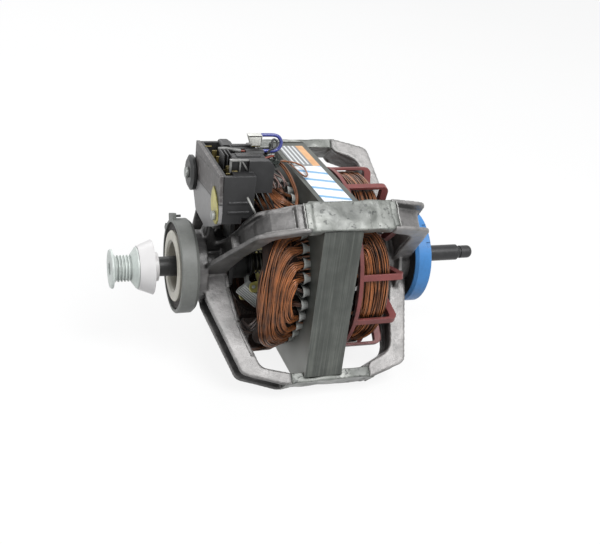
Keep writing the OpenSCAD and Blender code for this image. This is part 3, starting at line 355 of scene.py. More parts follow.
def label_print(name):
    """A generic printed label: slanting blue bands and thin lines on white, and at its far end a
    dark zone with pale lines beside an orange strip. Its measures are millimetres."""
    far_end_from, dark_until, lines_from = 7.5, 4.0, 11.0
    n = Nodes(name)
    x, y, z = n.axes()
    along = n.plus(n.times(x, 1 / MM), MID_X)
    across = n.times(y, 1 / MM)
    white = n.ramp(n.noise(6), (0.3, rgb(226, 232, 240)), (0.7, rgb(246, 249, 252)))
    slant = n.plus(across, n.times(along, 0.35))
    band = n.close(n.cycle(n.minus(slant, 3.2), 15.6), 0.5, 0.12)
    colour = n.mix(band, white, rgb(110, 170, 215))
    thin = n.close(n.cycle(along, 5.2), 0.5, 0.04)
    colour = n.mix(n.times(thin, 0.35), colour, rgb(150, 160, 172))
    lines = n.times(n.below(n.cycle(n.plus(along, 40.0), 3.4), 0.42), n.above(across, lines_from))
    dark = n.mix(lines, rgb(120, 122, 124), rgb(214, 217, 219))
    colour = n.mix(n.times(n.above(across, far_end_from), n.below(along, dark_until)), colour, dark)
    orange = n.ramp(n.noise(9), (0.3, rgb(208, 150, 92)), (0.7, rgb(232, 178, 120)))
    colour = n.mix(n.times(n.above(across, far_end_from), n.above(along, dark_until)), colour, orange)
    return n.finish(colour, 0.38, 0.0, n.bump(n.noise(3, 2.0), 0.05), Coat_Weight=0.3, Coat_Roughness=0.2)


def switch_plate_finish(name):
    """The switch's front plate: darker and mottled above its fold, paler below, with a row of
    short dashes near the top and a seam down one side. Its measures are millimetres."""
    fold_at, dashes_at, seam_at, seam_from = 61.8, 79.6, -26.0, 73.0
    n = Nodes(name)
    x, y, z = n.axes()
    height = n.times(n.minus(z, DROP * MM), 1 / MM)
    across = n.times(y, 1 / MM)
    slope = n.plus(height, n.times(across, 0.1))
    upper = n.spread(n.plus(slope, n.times(n.noise(9), 5)), 62, 66, 0.0, 1.0)
    mottle = n.noise(4, 4.0, 0.65)
    low = n.ramp(mottle, (0.3, rgb(124, 123, 124)), (0.7, rgb(154, 153, 153)))
    high = n.ramp(mottle, (0.3, rgb(58, 55, 55)), (0.52, rgb(80, 77, 76)), (0.72, rgb(122, 119, 118)))
    colour = n.mix(upper, low, high)
    fold = n.close(slope, fold_at, 0.45)
    dashes = n.times(n.close(slope, dashes_at, 0.5), n.above(n.noise(5, 2.0), 0.5))
    seam = n.times(n.close(across, seam_at, 0.4), n.above(height, seam_from))
    marks = n.math("MAXIMUM", fold, n.math("MAXIMUM", dashes, seam))
    colour = n.mix(marks, colour, rgb(28, 27, 27))
    edge, normal = n.edges(0.6)
    colour = n.worn(colour, edge, 3, (0.3, 0.6, 0.2), 0.6, (176, 174, 174))
    rough = n.spread(mottle, 0.3, 0.7, 0.36, 0.55)
    return n.finish(colour, rough, 0.1, n.bump(n.noise(1.5), 0.12, normal))


MATERIALS = {name: make(name, *tones) for name, make, *tones in [
    ("laminations", laminated),
    ("rotor_steel", laminated),
    ("copper_wire", copper, (160, 98, 56), (44, 24, 15)),
    # Dark copper for the start windings deep inside the stator: painted shade.
    ("copper_dark", copper, (92, 54, 36), (30, 18, 13)),
    # Near-black copper for the bodies of the coils, which show in the gaps between the outer wires: painted
    # shade.
    ("coil_core", wound_copper, (58, 34, 21), (17, 10, 7)),
    ("bond", varnished_bond),
    ("cast_aluminium", cast_metal, (127, 125, 124)),
    ("plate_grey", switch_plate_finish),
    ("label", label_print),
]}

# The other looks: tone, roughness, metal, variation, wear, worn tone, painted shade in recesses, and what
# else differs.
SURFACES = {
    "liner_film": ((196, 198, 194), 0.42, 0, 0.12, 0.5, (226, 228, 224), 0.3, dict(round_edge=0.4, reach=6)),
    "frame_plastic": ((120, 62, 60), 0.45, 0, 0.12, 0.35, (160, 98, 94), 0.45, dict(
        round_edge=0.9, grain=0.8, depth=0.06)),
    "bronze": ((150, 118, 78), 0.42, 0.6, 0.12, 0, None, 1, dict(grain=0.3)),
    "felt": ((112, 106, 84), 0.95, 0, 0.22, 0, None, 1, dict(size=4, grain=0.5, depth=0.5, Sheen_Weight=0.3)),
    "cream_plastic": ((214, 211, 198), 0.42, 0, 0.06, 0.3, (238, 236, 228), 0.5, dict(round_edge=0.6)),
    "black_plastic": ((36, 37, 37), 0.42, 0, 0.2, 0.35, (96, 96, 96), 0.5, {}),
    "grey_rubber": ((58, 55, 54), 0.75, 0, 0.2, 0.3, (104, 100, 98), 0.5, dict(depth=0.1)),
    "black_rubber": ((30, 30, 31), 0.7, 0, 0.2, 0.3, (80, 80, 80), 1, dict(depth=0.1)),
    "grey_ring": ((110, 112, 109), 0.5, 0, 0.10, 0.5, (160, 162, 159), 0.5, dict(round_edge=0.7)),
    "blue_ring": ((62, 128, 192), 0.42, 0, 0.07, 0.35, (140, 184, 224), 0.5, dict(round_edge=0.7)),
    "black_steel": ((46, 46, 47), 0.38, 0.3, 0.2, 0.4, (104, 104, 104), 1, dict(grain=0.5)),
    "bright_aluminium": ((166, 168, 166), 0.46, 0.35, 0.10, 0.2, (215, 215, 212), 0.2, dict(
        depth=0.03, reach=3)),
    "zinc": ((204, 211, 207), 0.42, 0.12, 0.10, 0.45, (238, 242, 239), 0.55, dict(grain=0.8, reach=4)),
    "clear_white_plastic": ((226, 224, 224), 0.34, 0, 0.02, 0, None, 1, dict(
        grain=3, depth=0.002, Transmission_Weight=0.08)),
    "yellow_zinc": ((176, 168, 98), 0.40, 0.4, 0.18, 0.3, (216, 210, 156), 0.3, dict(size=7)),
    "bright_steel": ((178, 181, 178), 0.42, 0.3, 0.08, 0.2, (226, 226, 224), 0.25, dict(
        depth=0.01, reach=2.5)),
    "housing_plastic": ((42, 42, 43), 0.5, 0, 0.2, 0.55, (112, 112, 114), 0.4, dict(round_edge=0.7)),
    "brass": ((132, 118, 70), 0.45, 0.45, 0.2, 0.3, (176, 164, 112), 0.5, {}),
    "blue_wire": ((58, 66, 142), 0.36, 0, 0.10, 0, None, 1, dict(grain=0.5, depth=0.04, Coat_Weight=0.3)),
    "clear_plastic": ((226, 226, 219), 0.3, 0, 0.08, 0.2, (246, 246, 240), 1, dict(
        size=3, Transmission_Weight=0.15)),
    "twine": ((40, 46, 43), 0.8, 0, 0.3, 0, None, 1, dict(size=2, grain=0.3, depth=0.3)),
    "pale_grey_plastic": ((128, 128, 126), 0.45, 0, 0.2, 0.4, (186, 186, 182), 0.5, dict(
        size=6, round_edge=0.4)),
    "red_wire": ((120, 58, 46), 0.42, 0, 0.2, 0, None, 1, dict(size=4, grain=0.5, depth=0.04)),
    "pale_twine": ((176, 178, 174), 0.7, 0, 0.2, 0, None, 1, dict(size=2, grain=0.3, depth=0.2)),
    "pink_wire": ((132, 108, 102), 0.5, 0, 0.3, 0, None, 0.5, dict(size=4, grain=0.5, depth=0.04)),
    "spring_steel": ((112, 112, 110), 0.36, 0.6, 0.2, 0, None, 0.4, {}),
    "flash_metal": ((150, 150, 147), 0.45, 0.2, 0.25, 0, None, 1, dict(size=3, depth=0.1)),
}
for name, (*columns, others) in SURFACES.items():
    MATERIALS[name] = plain_surface(name, *columns, **others)

for cad_node in nodes.values():
    for material_slot in cad_node.material_slots:
        base = material_slot.material.name.split(".")[0]
        if base in MATERIALS:
            material_slot.material = MATERIALS[base]


# Pieces in mesh code

def smooth_path(points, steps):
    """A smooth curve through the points, with that many steps from each to the next."""
    p = np.asarray(points, float)
    p = np.vstack([2 * p[0] - p[1], p, 2 * p[-1] - p[-2]])
    t = np.linspace(0, 1, steps, endpoint=False)[:, None]
    runs = []
    for a, b, c, d in zip(p[:-3], p[1:-2], p[2:-1], p[3:]):
        runs.append(0.5 * (2 * b + (c - a) * t + (2 * a - 5 * b + 4 * c - d) * t ** 2
                           + (3 * b - a - 3 * c + d) * t ** 3))
    return np.vstack(runs + [p[-2:-1]])


def add_piece(name, form, look, body="frame", stands_for=(), tones=None):
    """A smooth mesh piece from points of the motor's axes and faces. tones are its points' tones."""
    verts, faces = form
    mesh = bpy.data.meshes.new(name)
    mesh.from_pydata(place(verts).tolist(), [], [list(map(int, f)) for f in faces])
    mesh.materials.append(MATERIALS[look])
    mesh.shade_smooth()
    if tones is not None:
        layer = mesh.attributes.new("strand", "FLOAT", "POINT")
        layer.data.foreach_set("value", np.asarray(tones, np.float32))
    return keep_piece(bpy.data.objects.new(name, mesh), body, stands_for)


def keep_piece(piece, body="frame", stands_for=()):
    if not piece.users_collection:
        scene.collection.objects.link(piece)
    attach(piece, body)
    if stands_for:
        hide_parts(*stands_for)
    return piece


def sharp_by_angle(piece, degrees):
    """Keeps edges sharper than that angle crisp."""
    mesh = piece.data
    bm = bmesh.new()
    bm.from_mesh(mesh)
    for edge in bm.edges:
        edge.smooth = len(edge.link_faces) == 2 and edge.calc_face_angle() < math.radians(degrees)
    bm.to_mesh(mesh)
    bm.free()


def tube(path, radius, sides=6, towards=None):
    """Points and faces of a tube along a path. towards gives each ring's reference direction."""
    p = np.asarray(path, float)
    t = np.gradient(p, axis=0)
    t /= np.linalg.norm(t, axis=1)[:, None]
    if towards is None:
        ref = np.zeros_like(p)
        last = np.cross(t[0], (0.31, 0.95, 0.11))
        for i, direction in enumerate(t):
            last = last - direction * (last @ direction)
            last /= np.linalg.norm(last)
            ref[i] = last
    else:
        ref = towards - t * np.sum(towards * t, axis=1)[:, None]
        ref /= np.linalg.norm(ref, axis=1)[:, None]
    side = np.cross(t, ref)
    angle = (np.arange(sides) * 2 * np.pi / sides)[:, None]
    rings = p[:, None] + radius * (ref[:, None] * np.cos(angle) + side[:, None] * np.sin(angle))
    i = np.arange(len(p) - 1)[:, None] * sides
    j = np.arange(sides)[None]
    k = (j + 1) % sides
    quads = np.stack([i + j, i + k, i + sides + k, i + sides + j], -1).reshape(-1, 4)
    last_ring = (len(p) - 1) * sides
    faces = [list(range(sides))[::-1]] + quads.tolist() + [list(range(last_ring, last_ring + sides))]
    return rings.reshape(-1, 3), faces


def join(parts):
    """Several sets of points and faces as one."""
    verts, faces, start = [], [], 0
    for v, f in parts:
        verts.append(v)
        faces += [[index + start for index in face] for face in f]
        start += len(v)
    return np.vstack(verts), faces


def wires(name, routes, radius, look, steps=6, sides=8, **where):
    """Tubes of one radius along smooth routes, as one piece."""
    parts = [tube(smooth_path(route, steps), radius, sides) for route in routes]
    return add_piece(name, join(parts), look, **where)


def turned(profile, segments=96):
    """A closed outline of [radius, place along the shaft], turned about the shaft."""
    pts = np.asarray(profile, float)
    angles = np.arange(segments) * 360 / segments
    rings = np.stack([polar(pts[:, 0], a, pts[:, 1]) for a in angles])
    count = len(pts)
    faces = []
    for s in range(segments):
        n = (s + 1) % segments
        for i in range(count):
            k = (i + 1) % count
            faces.append([s * count + i, n * count + i, n * count + k, s * count + k])
    return rings.reshape(-1, 3), faces


def bevelled(name, parts, look, width=0.3, **where):
    """Closed solids of flat faces as one piece, with their edges broken."""
    piece = add_piece(name, join(parts), look, **where)
    mesh = piece.data
    bm = bmesh.new()
    bm.from_mesh(mesh)
    bmesh.ops.recalc_face_normals(bm, faces=bm.faces)
    bmesh.ops.bevel(bm, geom=list(bm.edges), offset=width * MM, segments=2, profile=0.5, affect="EDGES")
    bm.to_mesh(mesh)
    bm.free()
    sharp_by_angle(piece, 40)
    return piece


def prism(outline, at, side_from, side_to):
    """Points and faces between two sides. at places a point of the outline on a side."""
    count = len(outline)
    verts = np.array([at(p, side) for side in (side_from, side_to) for p in outline], float)
    faces = [list(range(count))[::-1], list(range(count, 2 * count))]
    faces += [[i, (i + 1) % count, count + (i + 1) % count, count + i] for i in range(count)]
    return verts, faces


def block(low, high, taper=(0, 0)):
    """A box between two corners. taper moves the left and right ends of its foot inwards."""
    (x0, y0, z0), (x1, y1, z1) = low, high
    outline = [(x0 + taper[0], z0), (x1 - taper[1], z0), (x1, z1), (x0, z1)]
    return prism(outline, lambda p, y: (p[0], y, p[1]), y0, y1)


# Windings

# Reach of the end turns from the stack's middle, radii of the wires in the slots and of the
# outermost end turns, and the lengths outside the slots in which wires rise and fan out.
REACH = {-1: 50, 1: 46.4}
RUN_R = 59.6
TURN_R = 66.9
RISE_FROM = 19.9
RISE_LEN = 8
FAN_LEN = 12
ARCH_POINTS = 27
TUBE_SIDES = 5


def smoothstep(share):
    """The share held between 0 and 1 and eased at both ends."""
    share = np.clip(share, 0, 1)
    return share * share * (3 - 2 * share)


def wound_pole(middle, loops, seed, wire, wander, glow):
    """One pole of wire as a single unbroken spiral through the slots and over both ends. Each loop
    is (angle of its slot, angle of its arch, then radius and shortfall from the coil's reach at
    the front end, then the same at the rear end). Ends are -1 at the front and 1 at the rear.
    Returns the tube and its points' tones, which glow scales as painted light and shade of
    the whole pole."""
    draw = random.Random(seed)
    squareness = {1: 3.0, -1: 2.4}
    path, tone = [], []

    def arch(end, start, stop, sign):
        """From slot to slot round one end; start and stop are loops."""
        s = np.linspace(-1, 1, ARCH_POINTS + 2)[1:-1] * sign
        blend = (np.arange(len(s)) + 1) / (len(s) + 1)
        first = 2 if end < 0 else 4
        spread, radius, short = [start[i] * (1 - blend) + stop[i] * blend for i in (1, first, first + 1)]
        shape = (1 - np.abs(s) ** squareness[end]) ** (1 / squareness[end])
        top = REACH[end] - wire / 2 - short + draw.uniform(-wander, wander) * 0.6
        along = RISE_FROM + (top - RISE_FROM) * shape
        waves = [(1, 1), (1, 2), (0.7, 3)]
        sway = wander * sum(part * draw.uniform(-1, 1) * np.sin(k * np.pi * blend) for part, k in waves)
        r = RUN_R + (radius - RUN_R) * smoothstep((along - RISE_FROM) / RISE_LEN)
        r = r + 0.5 * draw.uniform(-wander, wander) * np.sin(np.pi * blend)
        near_end = np.clip((along - REACH[end] + 5) / 5, 0, 1)
        r = np.minimum(r, TURN_R - wire / 2) - 2.2 * near_end ** 2
        fan = smoothstep((along - RISE_FROM) / FAN_LEN)
        slot = start[0] * (1 - blend) + stop[0] * blend
        angle = s * (slot + (spread - slot) * fan) + sway * 0.55 * fan
        lean = np.minimum(along + 0.8 * sway * shape, REACH[end] - wire / 2)
        path.append(polar(r, middle + angle, end * lean))
        # Loops on the inner side of the coil are painted darker, as shade.
        inner_side_shade = 0.3 if radius[0] < 56 else 0
        tone.append(np.full(len(s), glow * (0.15 + 0.85 * draw.random()) - inner_side_shade))

    def leg(loop, side, towards):
        """Through a slot, towards one end."""
        depth = RUN_R + draw.uniform(-1.5, 1.5)
        across = loop[0] + draw.uniform(-1.2, 1.2)
        places = towards * RISE_FROM * np.array([-0.8, 0, 0.8])
        path.append(polar(depth, middle + side * across, places))
        tone.append(np.full(len(places), 0.5))

    for i, loop in enumerate(loops):
        after = loops[min(i + 1, len(loops) - 1)]
        leg(loop, -1, -1)
        arch(-1, loop, loop, 1)
        leg(loop, 1, 1)
        arch(1, loop, after, -1)
    points = np.vstack(path)
    form = tube(points, wire / 2, TUBE_SIDES, points * (0, 1, 1))
    return form, np.repeat(np.concatenate(tone), TUBE_SIDES)


def main_loops(draw):
    """Loops of a main pole: three outer layers in four bundles, the end face, the inner side and
    both flanks. At the front each loop turns back in step with its slot; at the rear the outer
    slots' loops cover the rest."""
    loops = []
    for radius, count in [(66.2, 34), (65.3, 33), (64.3, 30)]:
        for i in range(count):
            share = (i + draw.random() * 0.9) / count
            bundle = min(int(share * 4), 3)
            slot = 45 - 10 * bundle
            fan = slot + 3.4 - 7.4 * (share * 4 - bundle)
            rear = (radius, 0.2 + 45 * share) if bundle < 2 else (radius - 3.6, 2 + 20 * share)
            loops.append((slot, fan, radius, 0.2 + 20.5 * share, *rear))
    for i in range(14):
        deep = 64 - 0.8 * i
        loops.append((45, 45 + draw.uniform(-2, 2), deep, 0.5, deep, 0.5 + draw.uniform(-0.3, 0.4)))
    for i in range(26):
        slot = 44 - 28 * (i / 26)
        deep = 52.7 + 0.15 * (i % 3)
        short = 1.2 + 21 * (i / 26)
        loops.append((slot, slot, deep, short, deep, short))
    for i in range(40):
        deep = 54 + 1.5 * (i % 8)
        short = 1.5 + 3.6 * (i // 8)
        loops.append((45, 46 + draw.uniform(-0.4, 0.6), deep, short, deep, short))
    return loops


def start_loops(draw):
    """Loops of a start pole: outer side, end face and inner side of its smaller coil."""
    loops = []
    for radius, count in [(51.4, 22), (50.2, 6), (49, 6), (47.8, 6), (46.6, 22)]:
        for i in range(count):
            short = 5.6 + 16 * i / max(count, 14) + draw.uniform(-0.4, 0.4)
            angle = 40 + draw.uniform(-2, 2)
            loops.append((40, angle, radius, short, radius, short))
    return loops


# Each main pole's angle, and how brightly its wire is painted: painted light and shade, brightest on the near
# pole and darkest on the bottom one.
POLES = {"top": (0, 0.6), "near": (90, 1.0), "bottom": (180, 0.45), "far": (270, 0.8)}
for number, (pole, (middle, glow)) in enumerate(POLES.items()):
    loops = main_loops(random.Random(40 + number))
    form, tones = wound_pole(middle, loops, 7 + number, 1.05, 0.9, glow)
    add_piece(f"{pole}_wire", form, "copper_wire", stands_for=[f"{pole}_strands"], tones=tones)

start_poles = []
for number in range(4):
    loops = start_loops(random.Random(60 + number))
    start_poles.append(wound_pole(45 + 90 * number, loops, 17 + number, 1.0, 0.6, 1.0))
forms, tones = zip(*start_poles)
# The start windings take the dark copper, as painted shade.
add_piece("start_wire", join(forms), "copper_dark", tones=np.concatenate(tones))


# Coils, castings and bonds

def formed_copy(node, name, look, voxel, smooth, swell, lumps, lump_size, extras=()):
    """A copy of a CAD node's form, remeshed, smoothed and moved out by swell and by lumps of that
    height and size, so that it looks cast or packed. extras are points and faces in the motor's
    axes that are merged in first."""
    bm = bmesh.new()
    bm.from_mesh(nodes[node].data)
    bmesh.ops.remove_doubles(bm, verts=bm.verts, dist=1e-6)
    for v, f in extras:
        made = [bm.verts.new(point) for point in place(v)]
        for face in f:
            bm.faces.new([made[index] for index in face])
    bmesh.ops.recalc_face_normals(bm, faces=bm.faces)
    mesh = bpy.data.meshes.new(name)
    bm.to_mesh(mesh)
    bm.free()
    piece = bpy.data.objects.new(name, mesh)
    scene.collection.objects.link(piece)
    remesh = piece.modifiers.new("remesh", "REMESH")
    remesh.mode = "VOXEL"
    remesh.voxel_size = voxel * MM
    relax = piece.modifiers.new("relax", "SMOOTH")
    relax.factor = 0.5
    relax.iterations = smooth
    made = bpy.data.meshes.new_from_object(piece.evaluated_get(bpy.context.evaluated_depsgraph_get()))
    piece.modifiers.clear()
    piece.data = made
    normals = np.zeros(len(made.vertices) * 3)
    made.vertex_normals.foreach_get("vector", normals)
    co = np.zeros(len(made.vertices) * 3)
    made.vertices.foreach_get("co", co)
    co = co.reshape(-1, 3)
    amount = np.array([noise.noise(Vector(c) / (lump_size * MM)) for c in co]) * lumps + swell
    co += normals.reshape(-1, 3) * amount[:, None] * MM
    made.vertices.foreach_set("co", co.ravel())
    made.materials.clear()
    made.materials.append(MATERIALS[look])
    made.shade_smooth()
    keep_piece(piece, stands_for=[node])


def arm_point(angle, r, side, ahead):
    """A point on the spoke at that angle: radius, offset across it and place towards the front."""
    a = math.radians(angle)
    return (-ahead, -r * math.sin(a) - side * math.cos(a), r * math.cos(a) - side * math.sin(a))


def across_arm(angle, outline, side_from, side_to):
    """A solid across an arm, from an outline of (radius, place towards the front)."""
    return prism(outline, lambda p, side: arm_point(angle, p[0], side, p[1]), side_from, side_to)


ARMS = (45, 135, 225, 315)


def bond_sleeves():
    """Collars of the corner bonds over the ends of the arms, with ragged inner edges."""
    draw = random.Random(3)
    inner_r, outer_r, half_width = 87.6, 96.9, 3.25
    sleeves = []
    for angle in ARMS:
        for front, rear in [(27.2, 22.4), (-35.6, -40.4)]:
            for side in (-6.2, 0, 6.2):
                ragged = draw.uniform(-0.7, 0.7)
                ends = (front, rear + ragged) if front > 0 else (front + ragged, rear)
                outline = [(inner_r, ends[0]), (inner_r, ends[1]), (outer_r, ends[1]), (outer_r, ends[0])]
                sleeves.append(across_arm(angle, outline, side - half_width, side + half_width))
    return sleeves


formed_copy("main_windings", "main_coils", "coil_core", 1.4, 4, -0.5, 0.5, 6)
formed_copy("start_windings", "start_coils", "coil_core", 1.2, 3, -0.6, 0.4, 6)
formed_copy("front_shield", "front_casting", "cast_aluminium", 0.9, 4, 0.0, 0.12, 5)
formed_copy("rear_shield", "rear_casting", "cast_aluminium", 0.9, 4, 0.0, 0.12, 5)
formed_copy("corner_bonds", "corner_castings", "bond", 0.8, 4, -0.3, 0.9, 11, bond_sleeves())


def arm_details():
    """Fins, pads and ledges on the front shield's arms, and a flash line where each arm of both
    shields enters its bond."""
    parts = []
    for turn in (1, -1):
        # On the upper arms: two cross ribs, a rail down each side of the channel, and a foot.
        for side_from, side_to, outline in [
            (-5, 8.6, [(47.2, 59), (48.4, 59), (48.4, 65), (47.2, 66)]),
            (-1, 8.6, [(21.4, 62), (22.6, 62), (22.6, 68), (21.4, 68.6)]),
            (-6.4, 8.4, [(63, 53.6), (67, 55), (73, 54), (80, 51.8), (86.6, 48.4), (91.6, 30), (90, 28),
                         (80, 46), (64, 51.5)]),
            (6.9, 8.4, [(66, 54), (66, 61), (80, 57), (87.4, 53), (94.4, 31), (94.4, 27), (90, 27),
                        (80, 46)]),
            (-8.6, 8.6, [(89, 33.4), (94.2, 32.4), (94.6, 27), (90, 27)]),
        ]:
            parts.append(across_arm(45 * turn, outline, turn * side_from, turn * side_to))
    for turn in (1, -1):
        # On the lower arms' outer sides: a pad and two ledges.
        for side_to, outline in [
            (-11.9, [(13, 63.6), (21.5, 63.6), (21.5, 61.6), (13, 61.6)]),
            (-11.5, [(23, 64), (47, 60.2), (47, 57.7), (23, 61.5)]),
            (-11.35, [(48.4, 60), (62, 56), (74, 52), (74, 49.9), (62, 53.5), (48.4, 57.5)]),
        ]:
            parts.append(across_arm(135 * turn, outline, turn * -11, turn * side_to))
    bevelled("casting_details", parts, "cast_aluminium", 0.35)
    draw = random.Random(9)
    ridges = []
    for angle in ARMS:
        for ahead in (27.4, -40.6):
            ridges.append([arm_point(angle, 96.3, side, ahead + draw.uniform(-0.25, 0.25))
                           for side in np.linspace(-9, 9, 13)])
    wires("casting_flash", ridges, 0.5, "flash_metal", steps=4)


arm_details()


# Liners in the slots

def shell(outer, inner):
    """Two matching grids of points as the skins of one closed sheet."""
    rows, columns = outer.shape[:2]
    verts = np.vstack([outer.reshape(-1, 3), inner.reshape(-1, 3)])
    half = rows * columns
    faces = []
    for i in range(rows - 1):
        for j in range(columns - 1):
            a = i * columns + j
            b, c, d = a + 1, a + columns + 1, a + columns
            faces += [[a, b, c, d], [half + d, half + c, half + b, half + a]]
    last_row = (rows - 1) * columns
    rim = list(range(columns)) + [i * columns + columns - 1 for i in range(1, rows)]
    rim += list(range(last_row + columns - 2, last_row - 1, -1))
    rim += [i * columns for i in range(rows - 2, 0, -1)]
    for a, b in zip(rim, rim[1:] + rim[:1]):
        faces.append([b, a, half + a, half + b])
    return verts, faces


def slot_cuffs():
    """Folded liners in the slots: a bent sheet in each, its ends spread outside the stack."""
    half_root, half_end, r_in, r_mid, thick = 2.05, 3.0, 42.2, 59.0, 0.5
    bends = np.radians(np.linspace(-90, 90, 9))
    arc = [(r_mid + half_end * math.cos(a), half_end * math.sin(a)) for a in bends]
    sheet = np.array([(r_in, -half_root)] + arc + [(r_in, half_root)])
    centre = np.array([(r_in, 0)] + [(r_mid, 0)] * len(arc) + [(r_in, 0)])
    # Places along the shaft, and how far the liner is spread there.
    stations = [(19.4, 1.5), (18.3, 1.15), (17, 0.6), (15.4, 0.1), (14, -0.15)]
    stations += [(-x, spread) for x, spread in stations[::-1]]
    outward = sheet - centre
    outward /= np.linalg.norm(outward, axis=1)[:, None]
    parts = []
    draw = random.Random(31)
    for k in range(36):
        lean = draw.uniform(-0.25, 0.25)
        grid = []
        for skin in (0, -thick):
            for x, spread in stations:
                flat = sheet + outward * (spread + skin)
                flat[:, 1] += lean * spread
                points = arm_point(5 + 10 * k, flat[:, 0], flat[:, 1], -x)
                grid.append(np.stack(np.broadcast_arrays(*points), -1))
        parts.append(shell(np.array(grid[:len(stations)]), np.array(grid[len(stations):])))
    sharp_by_angle(add_piece("liner_cuffs", join(parts), "liner_film", stands_for=["slot_liners"]), 50)


slot_cuffs()


# The blue lead and its connector

BLUE_ROUTE = smooth_path([
    [-39, 0, 88.4], [-36, 0, 88.4], [-33, 0, 88.4], [-30.4, 0.2, 88.5], [-28, 0.5, 89.1], [-26.2, 0.9, 90.6],
    [-25.3, 1.3, 92.6], [-25.2, 1.7, 94.8], [-26.2, 2.1, 97], [-28, 2.5, 98.5], [-30.4, 2.8, 99.1],
    [-33, 3, 99.2], [-35.4, 3, 99.2], [-37.8, 3, 99.2], [-40, 3, 99.2]], 3)
BLUE_D = 2.6


def blue_cord():
    curve = bpy.data.curves.new("blue_cord", "CURVE")
    curve.dimensions = "3D"
    spline = curve.splines.new("POLY")
    points = place(BLUE_ROUTE)
    spline.points.add(len(points) - 1)
    for target, point in zip(spline.points, points):
        target.co = (*point, 1)
    curve.bevel_depth = BLUE_D / 2 * MM
    curve.bevel_resolution = 4
    curve.use_fill_caps = True
    curve.materials.append(MATERIALS["blue_wire"])
    piece = keep_piece(bpy.data.objects.new("blue_cord", curve), stands_for=["blue_lead"])


def clear_connector():
    """A clear housing that narrows to its foot, with ribs inside and a brass edge below."""
    back, front = 5.2, -0.5
    parts = [
        block((-50.2, front, 92.4), (-40, front + 0.8, 99.8), (2.6, 0.2)),
        block((-50.2, back - 0.8, 92.4), (-40, back, 99.8), (2.6, 0.2)),
        block((-50.2, front, 98.7), (-40, back, 99.9), (0.4, 0)),
        block((-47.4, front + 0.3, 92.2), (-40.4, back - 0.3, 93.4)),
        block((-41, front, 92.4), (-40, back, 98.9)),
    ]
    for x in (-47.8, -45.4, -43):
        parts.append(block((x, front - 0.2, 93.6), (x + 0.7, back - 0.4, 98.9)))
    bevelled("connector_shell", parts, "clear_plastic", 0.2, stands_for=["lead_connector"])
    blade = [block((-47, 0.2, 91.4), (-40.6, 4.4, 92.3)), block((-46, 1, 93.3), (-41, 3.4, 97.6))]
    bevelled("connector_blade", blade, "brass", 0.15)


clear_connector()
blue_cord()


# Leads from the coils to the switch, and the twine round them

def coil_leads():
    """Two leads with a thin wire beside the first, and a loop of wire inside the coils."""
    first = [[-39, -4.4, 81.4], [-36, -4.4, 81.4], [-32, -4.4, 81.4], [-28.4, -6, 81.2], [-25.8, -11, 79.6],
             [-24, -18, 76.4], [-23, -25, 72.8], [-22.6, -32, 69], [-24, -39, 66.6], [-27, -45, 63]]
    second = [[-39, -2, 81.4], [-35, -2, 81.4], [-30.6, -2, 81.4], [-26.6, -3.8, 81], [-23.6, -9, 79],
              [-21.4, -16, 75.6], [-20.6, -23, 72], [-20.4, -29.6, 68.4], [-21.4, -34.6, 65.4],
              [-23, -38.6, 62.2]]
    beside = np.asarray(first) + (0.9, 0.7, 0.9)
    loop = [[-33, -1, 80.6], [-24, 4, 78.6], [-18.5, 12, 76.2], [-15.4, 13.4, 75.4], [-14, 6, 75.2],
            [-13, -3, 75.2], [-12, -12, 75.2], [-10.6, -16.4, 75.2], [-8, -13.4, 75.2], [-6.4, -5, 75.2],
            [-6, 0.6, 75.4], [-8, 5, 75.9], [-13, 7.4, 76.8], [-21, 5, 78.4], [-31, 1, 80.4]]
    radii = [(first, 0.62), (second, 0.62), (beside, 0.55), (loop, 0.62)]
    form = join([tube(smooth_path(route, 5), radius, 8) for route, radius in radii])
    tones = np.full(len(form[0]), 0.4)
    add_piece("coil_leads", form, "copper_wire", stands_for=["winding_leads"], tones=tones)


coil_leads()


def scatter(draw, *ranges):
    return np.array([draw.uniform(low, high) for low, high in ranges])


def twine():
    """Knotted twine: five rounds over the leads, with dark and pale loose ends."""
    draw = random.Random(5)
    turns = np.linspace(0, 5 * 2 * np.pi, 90)
    rounds = np.stack([-36 + 5.5 * turns / turns[-1] + 0.5 * np.sin(3 * turns),
                       -3.2 + 3.1 * np.cos(turns), 81.6 + 2.7 * np.sin(turns)], -1)
    dark, pale = [tube(rounds, 0.6, 6)], []
    for k in range(34):
        middle = (-33.5, -4.5, 83.4) + scatter(draw, (-3, 3), (-4, 4), (-1.2, 1.6))
        route = [middle + scatter(draw, (-3, 3), (-3.4, 3.4), (-2.4, 2.2)) for m in range(5)]
        (pale if k % 4 == 0 else dark).append(tube(smooth_path(route, 6), draw.uniform(0.4, 0.62), 6))
    add_piece("twine_tie", join(dark), "twine", stands_for=["lead_tie"])
    add_piece("twine_ends", join(pale), "pale_twine")


twine()


# Small parts of the switch

